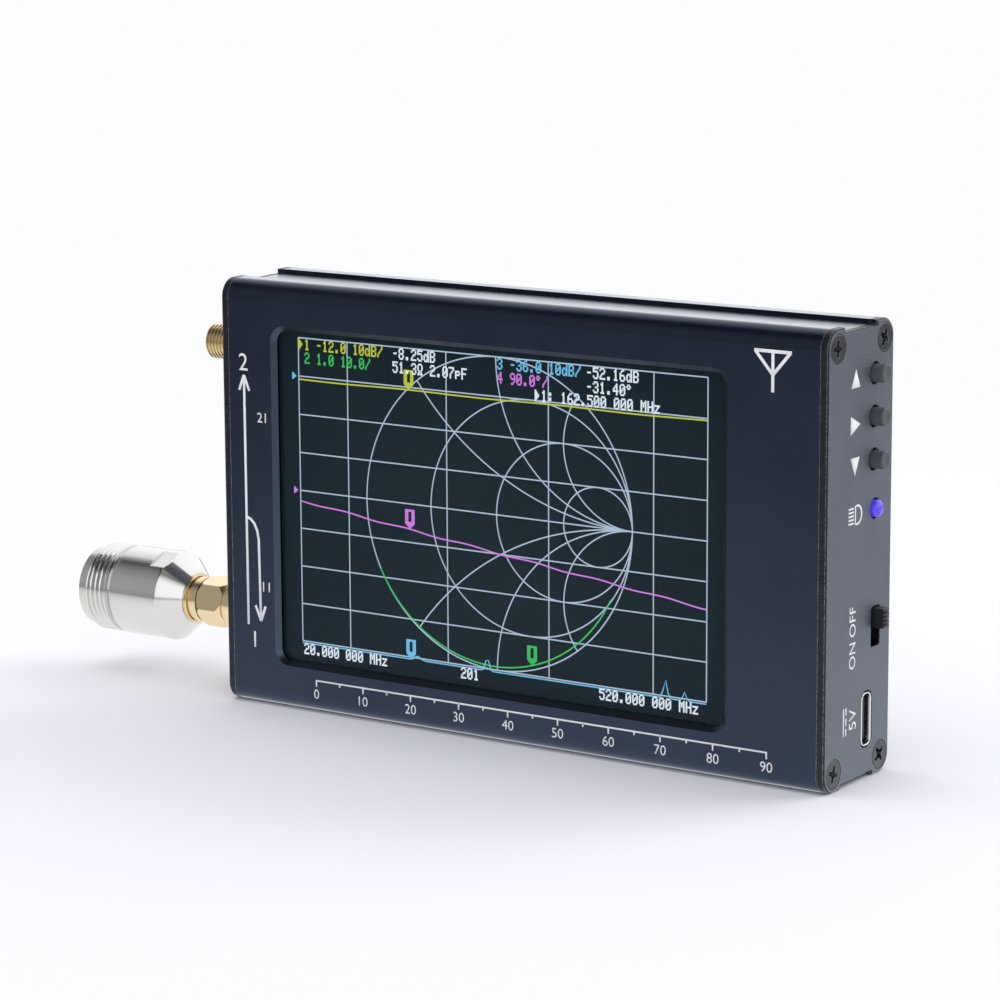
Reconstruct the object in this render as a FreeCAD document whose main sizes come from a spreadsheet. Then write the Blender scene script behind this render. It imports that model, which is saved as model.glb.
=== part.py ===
import FreeCAD, Part
import Sketcher
import math
import os
import re

os.makedirs("parts", exist_ok=True)

# Handheld antenna analyzer, standing on its long edge as it does on a bench.
# Millimetres. X runs along the case towards the button end, the screen faces -Y, Z is up.
# The origin is the middle of the case in X and Y, on the surface that the case stands on.

SIZES = {
    # how far a cutting solid runs past what it cuts
    "overcut": 1.0,
    # case, an extruded front half and rear half closed by two end plates
    "case_length": 120.0,
    "case_depth": 21.6,
    "case_height": 75.0,
    "plate_thickness": 1.5,
    "plate_bevel": 0.25,
    "front_wall": 1.4,
    "rear_wall": 1.4,
    "edge_wall": 1.5,
    "lobe_radius": 3.1,
    "lobe_width": 5.6,
    "lobe_step": 0.8,
    "seam_gap": 0.1,
    "lip_reach": 1.5,
    "lip_thickness": 0.9,
    "lip_clearance": 0.15,
    "rail_height": 1.2,
    "rail_width": 0.9,
    "rail_clearance": 0.1,
    # screws of the end plates
    "screw_head_radius": 2.45,
    "screw_head_depth": 1.2,
    "screw_shank_radius": 1.25,
    "screw_length": 8.0,
    "screw_clearance": 0.08,
    "screw_recess_width": 0.65,
    "screw_recess_span": 2.9,
    "screw_recess_depth": 0.8,
    # window, by its margins to the case's ends, foot and top; display stack, front to back
    "window_left": 11.4,
    "window_right": 18.95,
    "window_bottom": 8.6,
    "window_top": 8.15,
    "window_radius": 2.1,
    "window_bevel": 0.85,
    "tape_thickness": 0.2,
    "tape_inset": 0.25,
    "glass_overlap": 1.1,
    "glass_thickness": 0.7,
    "panel_inset": 0.6,
    "panel_thickness": 1.5,
    "tray_thickness": 1.3,
    "tray_wall": 0.4,
    "tray_clearance": 0.1,
    # ribbon from the display to the board
    "ribbon_width": 30.0,
    "ribbon_thickness": 0.2,
    "ribbon_reach": 3.4,
    "ribbon_bend": 1.0,
    "ribbon_tail": 5.0,
    "ribbon_drop": 24.0,
    "ribbon_inset": 0.5,
    "ribbon_socket_depth": 1.8,
    "ribbon_socket_length": 5.0,
    "ribbon_socket_rim": 1.0,
    # main board; its pillars by their distances to the case's ends, foot and top
    "board_front": -0.1,
    "board_thickness": 1.6,
    "board_gap_left": 0.6,
    "board_gap_right": 1.1,
    "board_edge_gap": 0.2,
    "pillar_radius": 2.0,
    "pillar_bore": 0.95,
    "pillar_floor": 0.2,
    "pillar_left": 13.0,
    "pillar_right": 29.0,
    "pillar_low": 10.5,
    "pillar_high": 10.5,
    "board_screw_radius": 0.88,
    "board_screw_head": 1.8,
    "board_screw_height": 1.3,
    "board_screw_length": 5.0,
    "board_hole": 1.1,
    # parts on the board
    "can_left": 17.0,
    "can_length": 24.0,
    "can_width": 21.0,
    "can_height": 2.8,
    "can_wall": 0.25,
    "can_low": 17.0,
    "can_high": 17.0,
    "chip_size": 12.0,
    "chip_height": 1.4,
    "chip_across": 4.0,
    "chip_lift": 0.5,
    "small_chip": 5.0,
    "small_chip_height": 0.9,
    "crystal_length": 5.0,
    "crystal_width": 3.2,
    "crystal_height": 1.1,
    # battery
    "battery_left": 10.0,
    "battery_length": 62.0,
    "battery_low": 10.0,
    "battery_width": 50.0,
    "battery_gap": 0.4,
    "battery_corner": 2.4,
    "battery_corner_share": 0.45,
    "battery_foam": 0.4,
    "battery_plug_lift": 27.0,
    "battery_plug_length": 5.0,
    "battery_plug_width": 7.0,
    "battery_plug_height": 4.0,
    "battery_plug_tail": 1.5,
    "battery_plug_fit": 0.05,
    "battery_socket_wall": 0.6,
    "lead_length": 10.5,
    "lead_radius": 0.6,
    "lead_spacing": 2.0,
    # push buttons
    "button_radius": 1.5,
    "button_hole": 1.8,
    "button_setback": 4.7,
    "button_drop": 8.5,
    "button_pitch": 7.0,
    "button_proud": 2.1,
    "button_round": 0.25,
    "button_travel": 0.3,
    "button_fit": 0.06,
    "button_stop": 0.2,
    "switch_width": 4.2,
    "switch_body": 3.4,
    "switch_gap": 0.4,
    "switch_cover": 0.25,
    # power slide switch
    "slider_setback": 5.85,
    "slider_level": 26.4,
    "slider_travel": 3.0,
    "slider_height": 3.3,
    "slider_width": 2.0,
    "slider_proud": 2.0,
    "slider_slot": 0.2,
    "slider_fit": 0.06,
    "slider_rib": 0.32,
    "slider_rib_depth": 0.3,
    "slider_body_depth": 4.4,
    "slider_body_wall": 1.0,
    "slider_back_gap": 0.1,
    "slot_width": 3.0,
    "slot_round": 0.6,
    # status lamp
    "lamp_radius": 1.45,
    "lamp_hole": 1.7,
    "lamp_setback": 5.3,
    "lamp_drop": 30.6,
    "lamp_proud": 2.0,
    "lamp_depth": 2.0,
    "lamp_flange": 1.85,
    "lamp_flange_thickness": 1.0,
    "lamp_leg": 0.5,
    # power socket
    "power_width": 8.94,
    "power_height": 3.26,
    "power_wall": 0.3,
    "power_length": 7.3,
    "power_round": 1.25,
    "power_level": 9.95,
    "power_slot_gap": 0.22,
    "tongue_width": 6.7,
    "tongue_thickness": 0.7,
    "tongue_length": 4.8,
    "tongue_base": 1.6,
    # radio ports on the left end plate
    "port_high": 13.1,
    "port_low": 14.3,
    "port_thread_radius": 3.175,
    "port_relief_radius": 3.05,
    "port_tip": 10.35,
    "port_bevel": 0.15,
    "port_thread_length": 7.4,
    "port_thread_pitch": 0.7056,
    "port_thread_depth": 0.38,
    "port_thread_turns": 9,
    "port_mouth_radius": 2.35,
    "port_mouth_depth": 1.9,
    "port_liner_radius": 2.05,
    "port_contact_radius": 0.635,
    "port_contact_bore": 0.5,
    "port_contact_depth": 3.0,
    "port_flange_width": 9.4,
    "port_flange_height": 7.2,
    "port_flange_thickness": 1.5,
    "port_leg_length": 4.2,
    "port_leg_width": 1.2,
    "port_leg_height": 1.2,
    "port_hole_gap": 0.15,
    "washer_radius": 4.5,
    "washer_thickness": 0.5,
    "nut_flats": 8.0,
    "nut_thickness": 2.2,
    "nut_bevel": 0.35,
    "nut_fit": 0.05,
    # adapter on the lower port
    "adapter_end": 37.7,
    "adapter_lead_radius": 7.3,
    "adapter_lead_length": 2.0,
    "adapter_thread_radius": 7.9375,
    "adapter_thread_length": 4.6,
    "adapter_thread_pitch": 1.0583,
    "adapter_thread_depth": 0.6,
    "adapter_thread_turns": 4,
    "adapter_radius": 8.05,
    "adapter_shoulder": 1.3,
    "adapter_flats": 15.3,
    "adapter_flats_turn": 22.0,
    "adapter_flats_back": 22.6,
    "adapter_body_end": 19.5,
    "adapter_cone_end": 15.6,
    "adapter_neck_radius": 4.7,
    "adapter_neck_bore": 2.4,
    "adapter_mouth_radius": 4.06,
    "adapter_mouth_depth": 9.0,
    "adapter_mouth_bevel": 0.5,
    "adapter_liner_thickness": 3.0,
    "adapter_contact_radius": 1.52,
    "adapter_contact_bore": 0.83,
    "adapter_contact_setback": 4.8,
    "adapter_contact_depth": 4.0,
    "ferrule_ring_radius": 4.45,
    "ferrule_ring_length": 0.6,
    "ferrule_radius": 4.1,
    "ferrule_groove": 0.25,
    "ferrule_neck": 2.6,
    "ferrule_shoulder": 2.95,
    "ferrule_sleeve": 2.28,
    "pin_radius": 0.455,
    "pin_tip_radius": 0.15,
    "pin_taper": 0.3,
    "pin_reach": 2.0,
    "reference_gap": 0.05,
    # coupling nut of the adapter
    "coupling_front": 5.0,
    "coupling_back": 13.1,
    "coupling_flats": 8.0,
    "coupling_turn": 10.0,
    "coupling_fit": 0.08,
    "coupling_web": 1.1,
    "coupling_gap": 0.12,
}

doc = FreeCAD.newDocument("antenna_analyzer")


def fill_sheet():
    """One row for each driving size: its name, its plain number, and the name as alias."""
    sheet = doc.addObject("Spreadsheet::Sheet", "Sizes")
    for row, (alias, size) in enumerate(SIZES.items(), 1):
        sheet.set("A%d" % row, alias)
        sheet.set("B%d" % row, str(size))
        sheet.setAlias("B%d" % row, alias)
    doc.recompute()
    return sheet


sheet = fill_sheet()


def bound(text):
    """Turns the names of sizes in a formula into references to the sheet."""
    def reference(match):
        word = match.group(0)
        return "Sizes." + word if word in SIZES else word
    return re.sub(r"[a-z][a-z_0-9]*", reference, str(text))


def number(text):
    """The present value of a formula, for the first guess that a sketch starts from."""
    return float(sheet.evalExpression(bound(text)))


def bind(thing, path, formula):
    thing.setExpression(path, bound(formula))


def place(thing, x="0", y="0", z="0"):
    """Ties where a thing stands to the sheet."""
    for path, formula in (("x", x), ("y", y), ("z", z)):
        bind(thing, "Placement.Base." + path, formula)
    return thing


def diff(high, low):
    return "(%s) - (%s)" % (high, low)


def total(*terms):
    return " + ".join("(%s)" % term for term in terms)


# shared places
HALF_LENGTH = "(case_length / 2)"
HALF_DEPTH = "(case_depth / 2)"
INNER_END = "(case_length / 2 - plate_thickness)"
LOBE_AXIS = "(case_depth / 2 - lobe_radius)"
LOBE_EDGE = "(case_depth / 2 - lobe_width)"
LOBE_TOP = "(2 * lobe_radius)"
WALL_TOP = "(lobe_step + edge_wall)"
BOARD_BACK = "(board_front + board_thickness)"
GLASS_FRONT = "(front_wall + tape_thickness - case_depth / 2)"
PANEL_FRONT = "(front_wall + tape_thickness + glass_thickness - case_depth / 2)"
TRAY_BACK = "(%s + panel_thickness + tray_thickness)" % PANEL_FRONT
PORT_AXIS = "(board_front + board_thickness / 2)"
PORT_FACE = "(-case_length / 2)"


def from_top(height):
    """A height measured down from the top of the case instead of up from its foot."""
    return "case_height - (%s)" % height


# places that follow the case's ends and top
WINDOW_LEFT = "(window_left - case_length / 2)"
WINDOW_RIGHT = "(case_length / 2 - window_right)"
WINDOW_TOP = "(case_height - window_top)"
BOARD_LEFT = "(board_gap_left + plate_thickness - case_length / 2)"
BOARD_RIGHT = "(case_length / 2 - plate_thickness - board_gap_right)"
RIBBON_LEVEL = "(case_height - ribbon_drop)"
CHIP_LEVEL = "(case_height / 2 + chip_lift)"
LAMP_LEVEL = "(case_height - lamp_drop)"
PORT_HIGH = "(case_height - port_high)"


# drawing helpers

def box(label, low, high):
    """A block between two corners, each given as three formulas."""
    block = doc.addObject("Part::Box", label)
    block.Label = label
    for side, start, end in zip(("Length", "Width", "Height"), low, high):
        bind(block, side, diff(end, start))
    return place(block, *low)


TURNS = {
    "x": FreeCAD.Rotation(FreeCAD.Vector(0, 1, 0), 90),
    "y": FreeCAD.Rotation(FreeCAD.Vector(1, 0, 0), -90),
    "z": FreeCAD.Rotation(),
}


def rod(label, axis, start, radius, length):
    """A cylinder from a start point along +X, +Y or +Z."""
    bar = doc.addObject("Part::Cylinder", label)
    bar.Label = label
    bar.Placement = FreeCAD.Placement(FreeCAD.Vector(), TURNS[axis])
    bind(bar, "Radius", radius)
    bind(bar, "Height", length)
    return place(bar, *start)


def taper(label, axis, start, first, second, length):
    """A cone frustum from a start point along +X, +Y or +Z."""
    bar = doc.addObject("Part::Cone", label)
    bar.Label = label
    bar.Placement = FreeCAD.Placement(FreeCAD.Vector(), TURNS[axis])
    bind(bar, "Radius1", first)
    bind(bar, "Radius2", second)
    bind(bar, "Height", length)
    return place(bar, *start)


def joined(kind, label, shapes):
    thing = doc.addObject(kind, label)
    thing.Label = label
    if kind == "Part::Compound":
        thing.Links = shapes
    else:
        thing.Shapes = shapes
    return thing


def fuse(label, shapes):
    return joined("Part::MultiFuse", label, shapes)


def common(label, shapes):
    return joined("Part::MultiCommon", label, shapes)


def group(label, shapes):
    """Separate solids that share one node, such as a set of screws."""
    return joined("Part::Compound", label, shapes)


def cut(label, base, tools):
    thing = doc.addObject("Part::Cut", label)
    thing.Label = label
    thing.Base = base
    thing.Tool = tools[0] if len(tools) == 1 else fuse(label + "_tools", tools)
    return thing


def origin_plane(body, role):
    return [feature for feature in body.Origin.OriginFeatures if feature.Role == role][0]


def new_body(label):
    body = doc.addObject("PartDesign::Body", label)
    body.Label = label
    return body


def draw(body, name, role, corners, circles=()):
    """A closed outline on an origin plane of its body.

    Each corner is (u, v), or (u, v, (cu, cv)) where an arc about that centre runs on to the next
    corner. Every corner is tied to its formula, and so are each arc's centre and each circle.
    """
    sketch = body.newObject("Sketcher::SketchObject", name)
    sketch.AttachmentSupport = [(origin_plane(body, role), "")]
    sketch.MapMode = "FlatFace"
    spots = [(number(corner[0]), number(corner[1])) for corner in corners]
    for index, corner in enumerate(corners):
        start = FreeCAD.Vector(*spots[index], 0)
        end = FreeCAD.Vector(*spots[(index + 1) % len(spots)], 0)
        if len(corner) == 2:
            sketch.addGeometry(Part.LineSegment(start, end), False)
        else:
            middle = FreeCAD.Vector(number(corner[2][0]), number(corner[2][1]), 0)
            sketch.addGeometry(arc_between(middle, start, end), False)
    tie_corners(sketch, corners, spots)
    for centre_u, centre_v, radius in circles:
        tie_circle(sketch, centre_u, centre_v, radius)
    return sketch


def arc_between(middle, start, end):
    """The short arc about a centre, with its own start and end put in counter-clockwise order."""
    first = math.atan2(start.y - middle.y, start.x - middle.x)
    last = math.atan2(end.y - middle.y, end.x - middle.x)
    if (last - first) % (2 * math.pi) > math.pi:
        first, last = last, first
    circle = Part.Circle(middle, FreeCAD.Vector(0, 0, 1), (start - middle).Length)
    return Part.ArcOfCircle(circle, first, last)


def near_point(sketch, geometry, spot):
    """1 or 2: the end of an edge that lies at a spot."""
    edge = sketch.Geometry[geometry]
    reach = [(edge.StartPoint - spot).Length, (edge.EndPoint - spot).Length]
    return 1 if reach[0] < reach[1] else 2


def tie_corners(sketch, corners, spots):
    count = len(corners)
    for index, corner in enumerate(corners):
        spot = FreeCAD.Vector(*spots[index], 0)
        before = (index - 1) % count
        here = near_point(sketch, index, spot)
        there = near_point(sketch, before, spot)
        sketch.addConstraint(Sketcher.Constraint("Coincident", before, there, index, here))
        tie_point(sketch, index, here, corner[0], corner[1])
        if len(corner) == 3:
            tie_along(sketch, "DistanceX", index, 3, corner[2][0])


def tie_point(sketch, geometry, point, u, v):
    tie_along(sketch, "DistanceX", geometry, point, u)
    tie_along(sketch, "DistanceY", geometry, point, v)


def tie_along(sketch, kind, geometry, point, formula):
    tie = sketch.addConstraint(Sketcher.Constraint(kind, -1, 1, geometry, point, number(formula)))
    sketch.setExpression("Constraints[%d]" % tie, bound(formula))


def tie_circle(sketch, centre_u, centre_v, radius):
    middle = FreeCAD.Vector(number(centre_u), number(centre_v), 0)
    circle = Part.Circle(middle, FreeCAD.Vector(0, 0, 1), number(radius))
    geometry = sketch.addGeometry(circle, False)
    tie_point(sketch, geometry, 3, centre_u, centre_v)
    tie = sketch.addConstraint(Sketcher.Constraint("Radius", geometry, number(radius)))
    sketch.setExpression("Constraints[%d]" % tie, bound(radius))


ALONG = {"YZ_Plane": "x", "XZ_Plane": "y", "XY_Plane": "z"}


def prism(label, role, corners, low, high, circles=()):
    """An outline padded along its plane's axis, from low to high."""
    body = new_body(label)
    sketch = draw(body, label + "_outline", role, corners, circles)
    pad = body.newObject("PartDesign::Pad", label + "_pad")
    pad.Profile = sketch
    bind(pad, "Length", diff(high, low))
    pad.Reversed = role == "XZ_Plane"
    sketch.Visibility = False
    return place(body, **{ALONG[role]: low})


def turned(label, corners, y="0", z="0", threads=None):
    """A profile of (x, radius) corners turned about the X direction, with ring threads if given.

    threads is (x where the thread starts, radius, pitch, depth, turns); each groove is a V as deep
    as stated, which leaves a flat crest a quarter of the pitch wide.
    """
    body = new_body(label)
    sketch = draw(body, label + "_profile", "XY_Plane", corners)
    turn = body.newObject("PartDesign::Revolution", label + "_turn")
    turn.Profile = sketch
    turn.ReferenceAxis = (sketch, ["H_Axis"])
    turn.Angle = 360
    if threads:
        ring_threads(body, label, *threads)
    return place(body, y=y, z=z)


def ring_threads(body, label, start, radius, pitch, depth, turns):
    """A V groove and its copies; after a crest of a quarter pitch, the first V is 3/4 pitch wide."""
    first = total(start, "5 * %s / 8" % pitch)
    half = "(3 * %s / 8)" % pitch
    over = "(%s + %s / 8)" % (radius, depth)
    corners = [(diff(first, half), over), (first, diff(radius, depth)), (total(first, half), over)]
    sketch = draw(body, label + "_groove_profile", "XY_Plane", corners)
    groove = body.newObject("PartDesign::Groove", label + "_groove")
    groove.Profile = sketch
    groove.ReferenceAxis = (sketch, ["H_Axis"])
    groove.Angle = 360
    doc.recompute()
    pattern = body.newObject("PartDesign::LinearPattern", label + "_threads")
    pattern.Originals = [groove]
    pattern.Direction = (sketch, ["H_Axis"])
    pattern.Reversed = False
    bind(pattern, "Length", "%s * (%s - 1)" % (pitch, turns))
    bind(pattern, "Occurrences", turns)
    body.Tip = pattern


def rounded_corners(left, right, bottom, top, radius):
    """A rectangle with round corners, counter-clockwise from its foot."""
    near_u, far_u = total(left, radius), diff(right, radius)
    near_v, far_v = total(bottom, radius), diff(top, radius)
    return [
        (near_u, bottom),
        (far_u, bottom, (far_u, near_v)),
        (right, near_v),
        (right, far_v, (far_u, far_v)),
        (far_u, top),
        (near_u, top, (near_u, far_v)),
        (left, far_v),
        (left, near_v, (near_u, near_v)),
    ]


def hexagon(flats):
    """Six corners of a hexagon by its width across flats, two of them on the u axis."""
    reach = "(%s / sqrt(3))" % flats
    side = "(%s / 2)" % flats
    half = "(%s / (2 * sqrt(3)))" % flats
    return [
        (reach, "0"), (half, side), ("-" + half, side),
        ("-" + reach, "0"), ("-" + half, "-" + side), (half, "-" + side),
    ]


# case

def front_shell_outline():
    front, inside = "-" + HALF_DEPTH, "front_wall - case_depth / 2"
    axis, edge, seam = "-" + LOBE_AXIS, "-" + LOBE_EDGE, diff(LOBE_EDGE, "seam_gap")
    rails = [
        (diff("board_front", "rail_clearance + rail_width"), diff("board_front", "rail_clearance")),
        (total(BOARD_BACK, "rail_clearance"), total(BOARD_BACK, "rail_clearance + rail_width")),
    ]
    low_wall, rail_top = WALL_TOP, total(WALL_TOP, "rail_height")
    foot = [(seam, "lobe_step"), (seam, low_wall)]
    for near, far in reversed(rails):
        foot += [(far, low_wall), (far, rail_top), (near, rail_top), (near, low_wall)]
    foot += [(edge, low_wall), (edge, LOBE_TOP), (inside, LOBE_TOP)]
    head = [(inside, from_top(LOBE_TOP)), (edge, from_top(LOBE_TOP)), (edge, from_top(low_wall))]
    for near, far in rails:
        head += [(near, from_top(low_wall)), (near, from_top(rail_top)),
                 (far, from_top(rail_top)), (far, from_top(low_wall))]
    head += [(seam, from_top(low_wall)), (seam, from_top("lobe_step"))]
    outside = [
        (edge, from_top("lobe_step")), (edge, "case_height"),
        (axis, "case_height", (axis, from_top("lobe_radius"))),
        (front, from_top("lobe_radius")),
        (front, "lobe_radius", (axis, "lobe_radius")),
        (axis, "0"), (edge, "0"), (edge, "lobe_step"),
    ]
    return foot + head + outside


def screw_bores(side):
    """Bores for the end screws, through the lobes of one half of the case."""
    across = side + LOBE_AXIS
    return [(across, "lobe_radius", "screw_shank_radius + screw_clearance"),
            (across, from_top("lobe_radius"), "screw_shank_radius + screw_clearance")]


def window_cutter():
    """The window's prism and, in front of it, the bevel around its rim."""
    corners = rounded_corners(WINDOW_LEFT, WINDOW_RIGHT, "window_bottom", WINDOW_TOP, "window_radius")
    hole = prism("window_hole", "XZ_Plane", corners, "-case_depth / 2 - overcut",
                 "front_wall - case_depth / 2 + overcut")
    wide = rounded_corners(*window_grown("window_bevel"), "window_radius + window_bevel")
    rim = new_body("window_rim")
    sketch = draw(rim, "window_rim_outline", "XZ_Plane", wide)
    pad = rim.newObject("PartDesign::Pad", "window_rim_pad")
    pad.Profile = sketch
    pad.Reversed = True
    bind(pad, "Length", "window_bevel")
    pad.TaperAngle = -45
    place(rim, y="-case_depth / 2")
    return [hole, rim]


def front_shell():
    blank = prism("front_shell_blank", "YZ_Plane", front_shell_outline(), "-" + INNER_END, INNER_END,
                  screw_bores("-"))
    return cut("front_shell", blank, window_cutter())


def rear_shell():
    back, inside = HALF_DEPTH, "case_depth / 2 - rear_wall"
    lip_front = diff(LOBE_EDGE, "lip_reach")
    lip_low = total(WALL_TOP, "lip_clearance")
    lip_high = total(WALL_TOP, "lip_clearance + lip_thickness")
    corners = [
        (LOBE_EDGE, "0"), (LOBE_AXIS, "0", (LOBE_AXIS, "lobe_radius")),
        (back, "lobe_radius"), (back, from_top("lobe_radius"), (LOBE_AXIS, from_top("lobe_radius"))),
        (LOBE_AXIS, "case_height"), (LOBE_EDGE, "case_height"),
        (LOBE_EDGE, from_top(lip_low)), (lip_front, from_top(lip_low)),
        (lip_front, from_top(lip_high)), (LOBE_EDGE, from_top(lip_high)),
        (LOBE_EDGE, from_top(LOBE_TOP)), (inside, from_top(LOBE_TOP)),
        (inside, LOBE_TOP), (LOBE_EDGE, LOBE_TOP),
        (LOBE_EDGE, lip_high), (lip_front, lip_high), (lip_front, lip_low), (LOBE_EDGE, lip_low),
    ]
    return prism("rear_shell", "YZ_Plane", corners, "-" + INNER_END, INNER_END, screw_bores(""))


def plate_outline():
    """The end plate follows the case: a lobe at front and back, and a lower middle between."""
    top, low_top = "case_height", from_top("lobe_step")
    high, low = from_top("lobe_radius"), "lobe_radius"
    return [
        ("-" + LOBE_AXIS, "0"), ("-" + LOBE_EDGE, "0"), ("-" + LOBE_EDGE, "lobe_step"),
        (LOBE_EDGE, "lobe_step"), (LOBE_EDGE, "0"), (LOBE_AXIS, "0", (LOBE_AXIS, low)),
        (HALF_DEPTH, low), (HALF_DEPTH, high, (LOBE_AXIS, high)),
        (LOBE_AXIS, top), (LOBE_EDGE, top), (LOBE_EDGE, low_top),
        ("-" + LOBE_EDGE, low_top), ("-" + LOBE_EDGE, top), ("-" + LOBE_AXIS, top, ("-" + LOBE_AXIS, high)),
        ("-" + HALF_DEPTH, high), ("-" + HALF_DEPTH, low, ("-" + LOBE_AXIS, low)),
    ]


def plate_blank(label, low, high, outer):
    """A plate with its outward rim bevelled; outer is 1 for the right plate and -1 for the left."""
    body = prism(label, "YZ_Plane", plate_outline(), low, high)
    doc.recompute()
    pad = body.Tip
    faces = pad.Shape.Faces
    place_of = [outer * face.CenterOfMass.x for face in faces]
    flat = "Face%d" % (place_of.index(max(place_of)) + 1)
    bevel = body.newObject("PartDesign::Chamfer", label + "_bevel")
    bevel.Base = (pad, [flat])
    bind(bevel, "Size", "plate_bevel")
    body.Tip = bevel
    return body


THROUGH_PLATE = "(plate_thickness + 2 * overcut)"


def screw_spots():
    return [(side + LOBE_AXIS, level) for side in ("-", "")
            for level in ("lobe_radius", from_top("lobe_radius"))]


def countersinks(label, outer):
    """Holes for the countersunk screws; outer is 1 for the right plate and -1 for the left."""
    tools = []
    head = "screw_head_radius + screw_clearance"
    shank = "screw_shank_radius + screw_clearance"
    for index, (across, level) in enumerate(screw_spots()):
        name = "%s_sink%d" % (label, index)
        if outer > 0:
            sink = (diff(HALF_LENGTH, "screw_head_depth"), across, level)
            tools.append(taper(name, "x", sink, shank, head, "screw_head_depth"))
            start = (diff(HALF_LENGTH, "plate_thickness + overcut"), across, level)
        else:
            sink = (PORT_FACE, across, level)
            tools.append(taper(name, "x", sink, head, shank, "screw_head_depth"))
            start = ("-case_length / 2 - overcut", across, level)
        tools.append(rod(name + "_bore", "x", start, shank, THROUGH_PLATE))
    return tools


def plate_screws(label, outer):
    """Four countersunk screws with cross recesses, as one group of separate solids."""
    screws = []
    for index, (across, level) in enumerate(screw_spots()):
        name = "%s_%d" % (label, index)
        if outer > 0:
            head = taper(name + "_head", "x", (diff(HALF_LENGTH, "screw_head_depth"), across, level),
                         "screw_shank_radius", "screw_head_radius", "screw_head_depth")
            shank = rod(name + "_shank", "x", (diff(HALF_LENGTH, "screw_length"), across, level),
                        "screw_shank_radius", "screw_length - screw_head_depth")
            deep, face = diff(HALF_LENGTH, "screw_recess_depth"), total(HALF_LENGTH, "overcut")
        else:
            head = taper(name + "_head", "x", (PORT_FACE, across, level),
                         "screw_head_radius", "screw_shank_radius", "screw_head_depth")
            shank = rod(name + "_shank", "x", ("screw_head_depth - case_length / 2", across, level),
                        "screw_shank_radius", "screw_length - screw_head_depth")
            deep, face = "-case_length / 2 - overcut", "screw_recess_depth - case_length / 2"
        thin, wide = "screw_recess_width / 2", "screw_recess_span / 2"
        slots = [
            box(name + "_slot_up", (deep, diff(across, thin), diff(level, wide)),
                (face, total(across, thin), total(level, wide))),
            box(name + "_slot_flat", (deep, diff(across, wide), diff(level, thin)),
                (face, total(across, wide), total(level, thin))),
        ]
        screws.append(cut(name, fuse(name + "_blank", [head, shank]), slots))
    return group(label, screws)


def slot_prism(label, middle_y, middle_z, width, height, round_off, low, high):
    """A rounded slot or bar along X, with its width along Y and its height along Z."""
    corners = rounded_corners(diff(middle_y, "(%s) / 2" % width), total(middle_y, "(%s) / 2" % width),
                              diff(middle_z, "(%s) / 2" % height), total(middle_z, "(%s) / 2" % height),
                              round_off)
    return prism(label, "YZ_Plane", corners, low, high)


def button_levels():
    return [from_top("button_drop + %d * button_pitch" % index) for index in range(3)]


SLOT_MIDDLE = "(slider_level - slider_travel / 2)"
SLOT_HEIGHT = "(slider_height + slider_travel + 2 * slider_slot)"
POWER_MIDDLE = "(board_front + board_thickness + power_height / 2)"


def right_end_plate():
    low, high = diff(INNER_END, "overcut"), total(HALF_LENGTH, "overcut")
    tools = countersinks("right_plate", 1)
    for index, level in enumerate(button_levels()):
        tools.append(rod("button_hole_%d" % index, "x", (low, "button_setback", level), "button_hole",
                         THROUGH_PLATE))
    tools.append(rod("lamp_opening", "x", (low, "lamp_setback", LAMP_LEVEL), "lamp_hole", THROUGH_PLATE))
    tools.append(slot_prism("slider_opening", "slider_setback", SLOT_MIDDLE, "slot_width", SLOT_HEIGHT,
                            "slot_round", low, high))
    tools.append(slot_prism("power_opening", POWER_MIDDLE, "power_level",
                            "power_height + 2 * power_slot_gap", "power_width + 2 * power_slot_gap",
                            "power_round + power_slot_gap", low, high))
    return cut("right_end_plate", plate_blank("right_plate_blank", INNER_END, HALF_LENGTH, 1), tools)


def left_end_plate():
    tools = countersinks("left_plate", -1)
    for name, level in (("upper", PORT_HIGH), ("lower", "port_low")):
        tools.append(rod(name + "_port_hole", "x", ("-case_length / 2 - overcut", PORT_AXIS, level),
                         "port_relief_radius + port_hole_gap", THROUGH_PLATE))
    return cut("left_end_plate", plate_blank("left_plate_blank", PORT_FACE, "-" + INNER_END, -1), tools)


# display

def framed(label, outer, inner, low, high):
    """A flat frame in the plane of the screen: one rectangle with another cut out of it."""
    left, right, bottom, top = outer
    whole = box(label + "_whole", (left, low, bottom), (right, high, top))
    left, right, bottom, top = inner
    hole = box(label + "_hole", (left, diff(low, "overcut"), bottom), (right, total(high, "overcut"), top))
    return cut(label, whole, [hole])


def window_grown(margin):
    """The window's four sides moved outwards by a margin."""
    return (diff(WINDOW_LEFT, margin), total(WINDOW_RIGHT, margin),
            diff("window_bottom", margin), total(WINDOW_TOP, margin))


def display_tape():
    return framed("display_tape", window_grown("glass_overlap"), window_grown("tape_inset"),
                  "front_wall - case_depth / 2", GLASS_FRONT)


def screen_block(label, margin, front, back):
    left, right, bottom, top = window_grown(margin)
    return box(label, (left, front, bottom), (right, back, top))


def touch_glass():
    return screen_block("touch_glass", "glass_overlap", GLASS_FRONT, PANEL_FRONT)


def display_panel():
    return screen_block("display_panel", "panel_inset", PANEL_FRONT, total(PANEL_FRONT, "panel_thickness"))


def backlight_tray():
    """A shallow tray behind the panel, with a wall round the panel's edge."""
    whole = screen_block("tray_whole", "panel_inset + tray_clearance + tray_wall",
                         total(PANEL_FRONT, "tray_clearance"), TRAY_BACK)
    pocket = screen_block("tray_pocket", "panel_inset + tray_clearance",
                          diff(PANEL_FRONT, "overcut"), total(PANEL_FRONT, "panel_thickness"))
    return cut("backlight_tray", whole, [pocket])


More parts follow.
